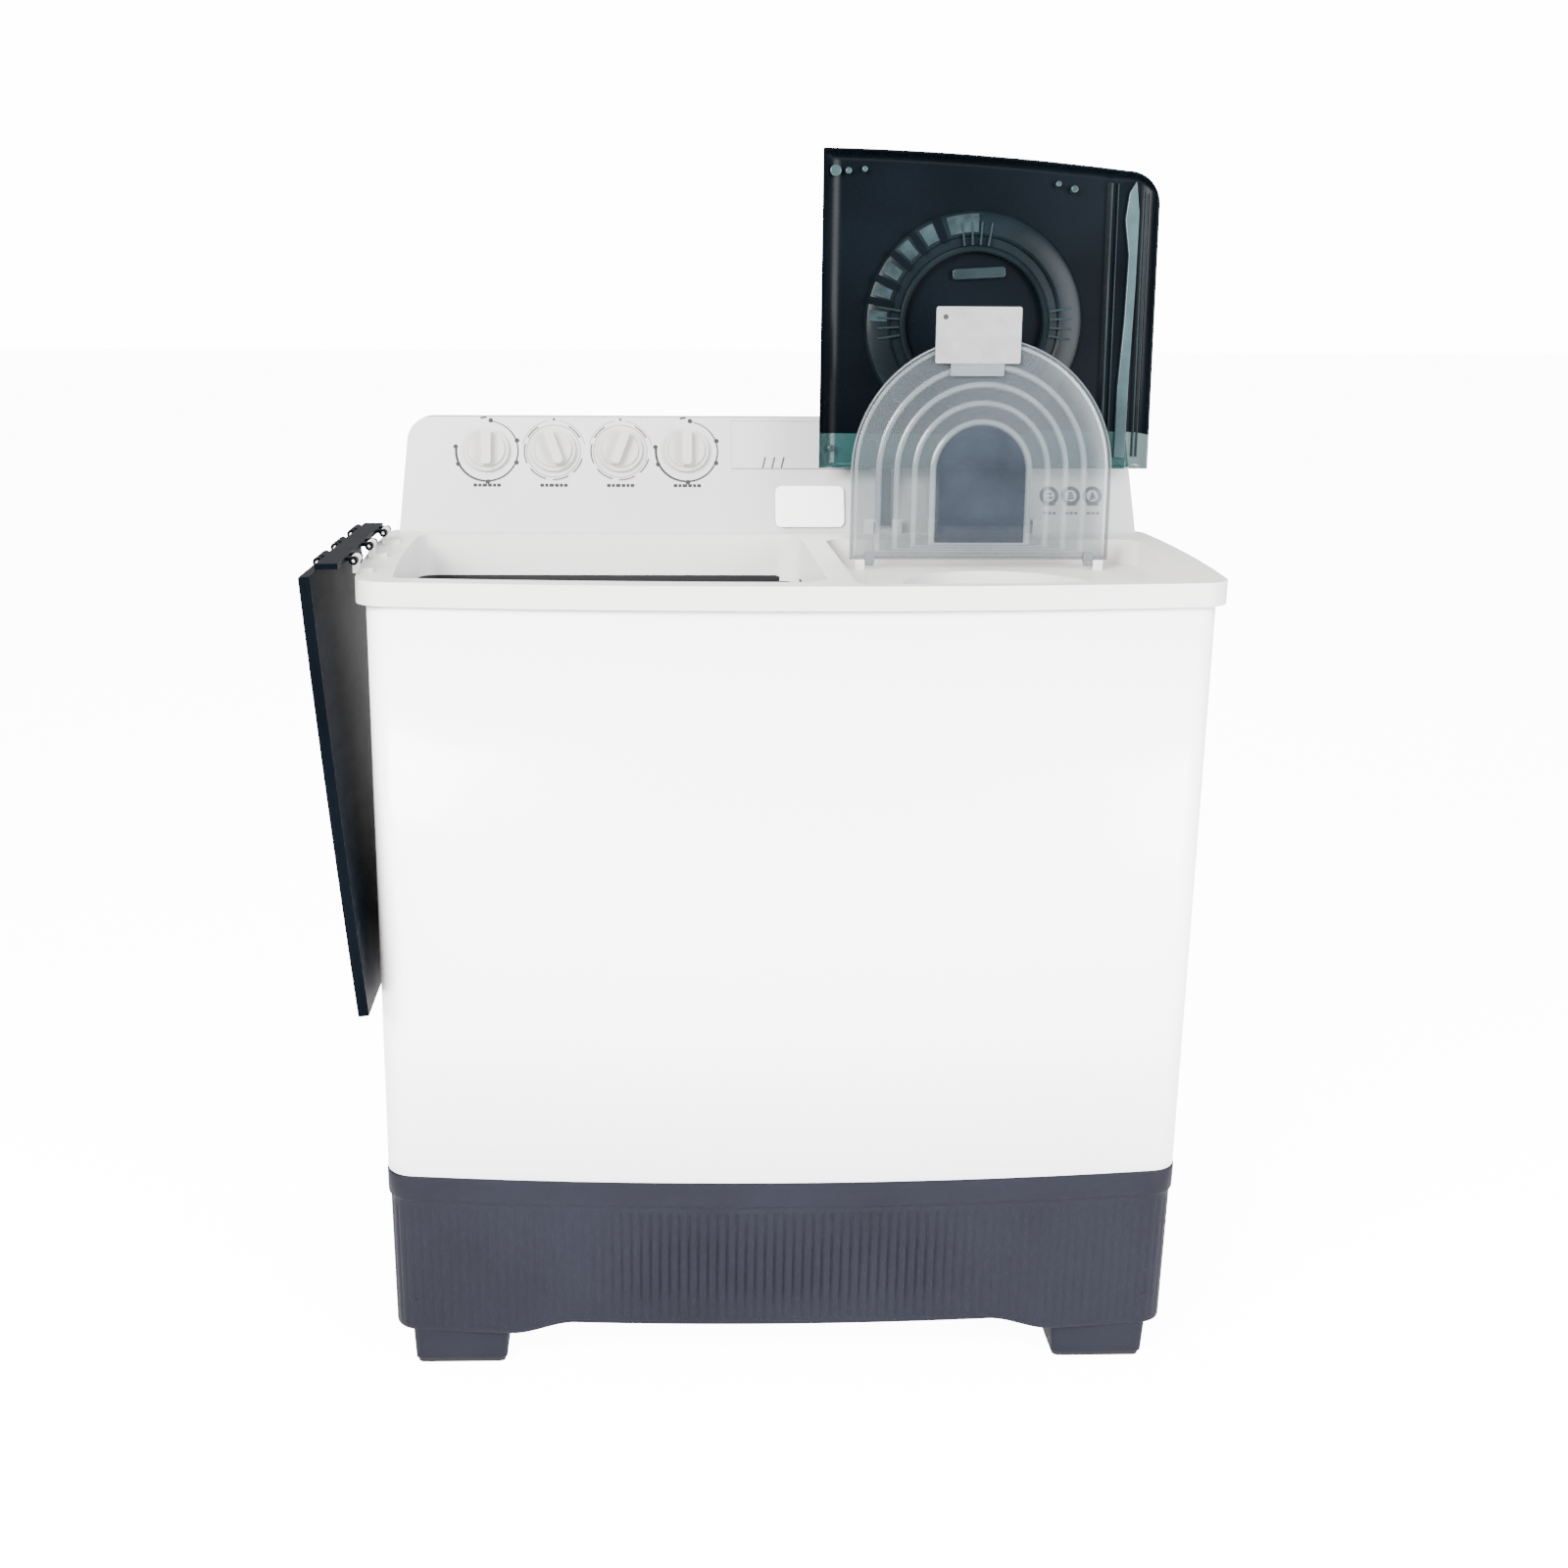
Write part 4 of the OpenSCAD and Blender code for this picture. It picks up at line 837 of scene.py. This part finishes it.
def spin_lid_legs():
    """The wide and the narrow hinge leg, with their knuckles."""
    for name, u, w in (("spin_lid_leg", 274, 118), ("spin_lid_arm", 144, 20)):
        shapes = Shapes(on_spin_lid)
        shapes.bar(u, (LEG_LEN + 8) / 2 + 1, w - 0.6, LEG_LEN + 6, 2.2, 7.6, r=2)
        shapes.knuckle(u, w)
        bevel(piece(name, shapes.verts, shapes.faces, "spin_lid", "lid_teal", [LID]), 0.8)


spin_lid_shell()
spin_lid_ring()
spin_lid_trim()
spin_lid_legs()

# ---- inner lid ------------------------------------------------------------------------------
INNER_STRAIGHT = 110
INNER_R = 158
RIDGES = [124, 102, 80, 58]
EAR_X = 134


def on_inner_lid(a, v, w):
    """A point on the upright inner lid: a across from its middle, v up, w towards the back."""
    c, s = math.cos(INNER_LEAN), math.sin(INNER_LEAN)
    return at(INNER_AXIS.x + a, INNER_AXIS.y + w * c - v * s, INNER_AXIS.z + w * s + v * c)


def arch(r, low, w):
    """Arch outline of radius r at depth w, always with the same number of points."""
    points = [(-r + 2 * r * i / 10, low) for i in range(11)]
    points += [(r, low + (INNER_STRAIGHT - low) * i / 8) for i in range(1, 8)]
    points += [(r * math.cos(math.pi * i / 48), INNER_STRAIGHT + r * math.sin(math.pi * i / 48))
               for i in range(49)]
    points += [(-r, INNER_STRAIGHT - (INNER_STRAIGHT - low) * i / 8) for i in range(1, 8)]
    return [on_inner_lid(a, v, w) for a, v in points]


def inner_lid():
    """Clear arch whose face steps back at each ridge."""
    sizes = [(INNER_R - 1.5, 5, -1.6), (INNER_R, 4, 0.5), (INNER_R, 4, 4.4), (INNER_R - 3, 7, 4.8)]
    sizes += [(INNER_R - 4, 8, 1.6), (INNER_R - 8, 10, 0.4)]
    edge = {0, 1, 2, 3, 4}
    depth = 0.4
    for k, r in enumerate(RIDGES):
        sizes += [(r + 4, 12 + 3 * k, depth), (r + 1.4, 13 + 3 * k, depth - 1.5)]
        sizes += [(r - 1.4, 14 + 3 * k, depth - 1.5), (r - 3.4, 15 + 3 * k, depth + 0.9)]
        edge |= {len(sizes) - 4, len(sizes) - 3, len(sizes) - 2}
        depth += 0.9
    front = [arch(r, low, w) for r, low, w in sizes]
    back = [arch(r - 0.3, low + 0.3, min(4.9, w + 1.6)) for r, low, w in reversed(sizes[3:])]
    n = len(front[0])
    verts, faces = loft(front + back, wrap=True)
    joint = len(front) - 1
    faces = [f for i, f in enumerate(faces) if i // n != joint]
    faces.append(tuple(joint * n + i for i in range(n)))
    faces.append(tuple((joint + 1) * n + i for i in range(n)))
    ob = piece("inner_lid_shell", verts, faces, "inner_lid", "inner_clear", [CLEAR, RIDGE, CORE],
               "spin_inner_lid", angle=25)
    for i, polygon in enumerate(ob.data.polygons):
        if i // n in edge:
            polygon.material_index = 1
        if i >= len(ob.data.polygons) - 2:
            polygon.material_index = 2


def inner_lid_ears():
    """The two ears that turn on the inner lid's pins."""
    ears = Shapes(on_inner_lid)
    for a in (-EAR_X, EAR_X):
        ears.bar(a, 7, 12, 13, -2, 3.5, r=2)
        ears.knuckle(a, 10)
    piece("inner_lid_ears", ears.verts, ears.faces, "inner_lid", "inner_clear", [RIDGE])


def inner_lid_plate():
    """Pale label plate at the arch's top, its small clip and a printed dot."""
    plate = Shapes(on_inner_lid)
    plate.bar(-10, 270, 102, 66, -5.8, -2.4, r=2.5)
    bevel(piece("inner_lid_plate", plate.verts, plate.faces, "inner_lid", "label_grey", [LABEL],
                "inner_lid_tab"), 0.7)
    clip = Shapes(on_inner_lid)
    clip.bar(-10, 230, 64, 15, -5.2, -3.1, r=1.5)
    bevel(piece("inner_lid_clip", clip.verts, clip.faces, "inner_lid", "inner_clear", [RIDGE]), 0.5)
    dot = Shapes(on_inner_lid)
    dot.disc(-50, 291, 3.2, -6.0, -5.7, 16)
    piece("inner_lid_dot", dot.verts, dot.faces, "inner_lid", "label_grey", [PRINT])


inner_lid()
inner_lid_ears()
inner_lid_plate()


# ---- wash lid -------------------------------------------------------------------------------
def turned(x, z, angle):
    """A turn about the line along Y through (x, z) of the cabinet frame."""
    centre = at(x, 0, z)
    return (Matrix.Translation(centre) @ Matrix.Rotation(angle, 4, "Y")
            @ Matrix.Translation(-centre))


LID_INSIDE = LID_TOP - 2.5
OPEN_LEAF = turned(LEAF_AXIS_X, LID_TOP, math.pi)
HANG = turned(FOLD_X, LID_TOP, -math.pi / 2 - HANG_LEAN) @ OPEN_LEAF


def on_wash_lid(x, y, z):
    """A point of the closed wash lid, where it is with the lid hung open."""
    return HANG @ at(x, y, z)


def wash_lid_ribs():
    """Stiffening ribs, the grip and the buffers inside the wash lid's skirt."""
    ribs = Shapes(on_wash_lid)
    for x in (-300, -60):
        ribs.bar(x, -78, 2.5, 330, LID_TOP - 9, LID_INSIDE)
    for y in (-170, -78, 20):
        ribs.bar(-186, y, 440, 2.5, LID_TOP - 8, LID_INSIDE)
    piece("wash_lid_ribs", ribs.verts, ribs.faces, "wash_lid", "lid_teal", [RAIL])
    grip = Shapes(on_wash_lid)
    grip.bar(38, -90, 8, 120, LID_TOP - 11.5, LID_INSIDE, r=3)
    bevel(piece("wash_lid_grip", grip.verts, grip.faces, "wash_lid", "lid_teal", [RAIL]), 1)
    stops = Shapes(on_wash_lid)
    for x, y in ((-400, 85), (30, 85), (-290, -252), (-20, -262)):
        stops.disc(x, y, 6, LID_TOP - 11.8, LID_INSIDE, 18)
    bevel(piece("wash_lid_buffers", stops.verts, stops.faces, "wash_lid", "label_grey", [HIGHLIGHT_AND_BUFFER]), 1)


refine("wash_lid_leaf", LEAF, 1.2, 3)
refine("wash_lid", LEAF, 2.0, 3)
wash_lid_ribs()

# ---- everything else keeps its CAD shape ----------------------------------------------------
FINISHES = {
    "cabinet": PAINT, "back_cover": COVER, "control_back_cover": COVER, "wash_tub": TUB,
    "filter_holder": TUB, "lint_filter": BLUE,
    "wash_tub_seal": RUBBER, "spin_outer_tub": TUB, "pulsator_screw": ZINC, "wash_shaft": STEEL,
    "gearbox": ALLOY, "gearbox_pulley": ALLOY, "v_belt": BELT, "wash_motor": CASTING,
    "motor_bracket": ZINC, "motor_pulley": ALLOY, "spin_basket": TUB, "spin_shaft": STEEL,
    "brake_drum": ALLOY, "spin_motor": CASTING, "spin_motor_springs": ZINC, "brake_bracket": ZINC,
    "brake_lever": ZINC, "brake_spring": ZINC, "bellows_seal": RUBBER, "spin_bearing": ALLOY,
    "drain_valve_body": VALVE, "drain_valve_plug": RUBBER, "drain_valve_spring": ZINC,
    "drain_pipe": VALVE, "overflow_pipe": VALVE, "water_inlet_nipple": INLET,
    "inlet_channel": TUB, "wash_timer": CREAM, "spin_timer": CREAM, "wash_selector_switch": CREAM,
    "drain_selector_cam": CREAM, "wash_lid_pins": STEEL, "spin_lid_pins": STEEL,
    "inner_lid_pins": STEEL, "safety_switch": BLACK, "capacitor": CREAM, "cord_gland": BLACK,
    "cover_screws": ZINC,
}
FLAT = ("back_cover", "control_back_cover", "filter_holder", "lint_filter", "motor_bracket",
        "brake_bracket", "brake_lever")
WELD_GAP = 0.00001


def dress(node, mat):
    """Gives a CAD node its material and shading."""
    ob = frame["nodes"][node]
    ob.data.materials.clear()
    ob.data.materials.append(mat)
    if node in FLAT:
        ob.data.shade_flat()
    else:
        smooth(ob.data)
    weld = ob.modifiers.new("Weld", "WELD")
    weld.merge_threshold = WELD_GAP


for cad_node, finish in FINISHES.items():
    dress(cad_node, finish)


# ---- floor, light and camera ----------------------------------------------------------------
FLOOR_GLOW = 1.5
FLOOR_SEEN = 12.0
SKY_SEEN = 15.0
SKY_LIGHT = 0.9
KEY_POWER = 1020
FILL_POWER = 620
TOP_POWER = 120
CAMERA = Vector((-163.8, -2196.9, 1224.4))
PITCH, YAW, ROLL = 0.25884, 0.02886, 0.00557
SENSOR = 36
LENS = 42.75
SHIFT_X, SHIFT_Y = 0.0578, 0.0014


def stage_floor():
    """Pale floor that looks as bright as the surroundings."""
    mesh = bpy.data.meshes.new("floor")
    mesh.from_pydata([(-30, -12, 0), (30, -12, 0), (30, 40, 0), (-30, 40, 0)], [], [(0, 1, 2, 3)])
    pale = material("floor_pale", (0.9, 0.9, 0.9), 0.6, 0.03, 0.01, 2, 200, 0.02)
    shader = pale.node_tree.nodes["Principled BSDF"]
    shader.inputs["Emission Color"].default_value = (1, 1, 1, 1)
    seen_or_lit(pale.node_tree, FLOOR_GLOW, FLOOR_SEEN, shader.inputs["Emission Strength"])
    mesh.materials.append(pale)
    ob = bpy.data.objects.new("floor", mesh)
    bpy.context.scene.collection.objects.link(ob)


def area_light(name, place, aim, size, power, tint=(1, 1, 1)):
    """A soft rectangular light at a place, turned towards a point."""
    data = bpy.data.lights.new(name, "AREA")
    data.shape = "RECTANGLE"
    data.size, data.size_y = size
    data.energy = power
    data.color = tint
    ob = bpy.data.objects.new(name, data)
    bpy.context.scene.collection.objects.link(ob)
    ob.location = place
    ob.rotation_euler = (Vector(aim) - Vector(place)).to_track_quat("-Z", "Y").to_euler()


def seen_or_lit(tree, light, seen, socket):
    """Sets a strength to seen for the camera, and to light for everything else."""
    path = tree.nodes.new("ShaderNodeLightPath")
    level = node_of(tree, "ShaderNodeMapRange", -200, 0, To_Min=light, To_Max=seen)
    tree.links.new(path.outputs["Is Camera Ray"], level.inputs["Value"])
    tree.links.new(level.outputs["Result"], socket)


def studio():
    """White surroundings as the camera sees them, with a softer sky than that on the object."""
    world = bpy.data.worlds.new("studio")
    bpy.context.scene.world = world
    world.use_nodes = True
    background = world.node_tree.nodes["Background"]
    background.inputs["Color"].default_value = (1, 1, 1, 1)
    seen_or_lit(world.node_tree, SKY_LIGHT, SKY_SEEN, background.inputs["Strength"])
    area_light("key", (-2.4, -3.3, 2.7), (0, 0, 0.7), (2.2, 2.2), KEY_POWER, (1, 0.985, 0.975))
    area_light("fill", (2.8, -3.0, 1.7), (0.1, 0, 0.75), (1.8, 2.6), FILL_POWER, (0.98, 0.985, 1))
    area_light("top", (-0.3, 0.4, 3.4), (0, 0.1, 0.9), (2.2, 1.8), TOP_POWER)


def camera():
    """Camera a little above the deck, in front and left of the middle, tilted down."""
    data = bpy.data.cameras.new("camera")
    data.sensor_width = SENSOR
    data.lens = LENS
    data.shift_x = SHIFT_X
    data.shift_y = SHIFT_Y
    data.clip_end = 200
    ob = bpy.data.objects.new("camera", data)
    bpy.context.scene.collection.objects.link(ob)
    forward = Vector((math.sin(YAW) * math.cos(PITCH), math.cos(YAW) * math.cos(PITCH),
                      -math.sin(PITCH)))
    right = Vector((math.cos(YAW), -math.sin(YAW), 0))
    up = right.cross(forward)
    side = right * math.cos(ROLL) + up * math.sin(ROLL)
    top = up * math.cos(ROLL) - right * math.sin(ROLL)
    turn = Matrix((side, top, -forward)).transposed()
    ob.matrix_world = Matrix.Translation(at(*CAMERA)) @ turn.to_4x4()
    bpy.context.scene.camera = ob


stage_floor()
studio()
camera()
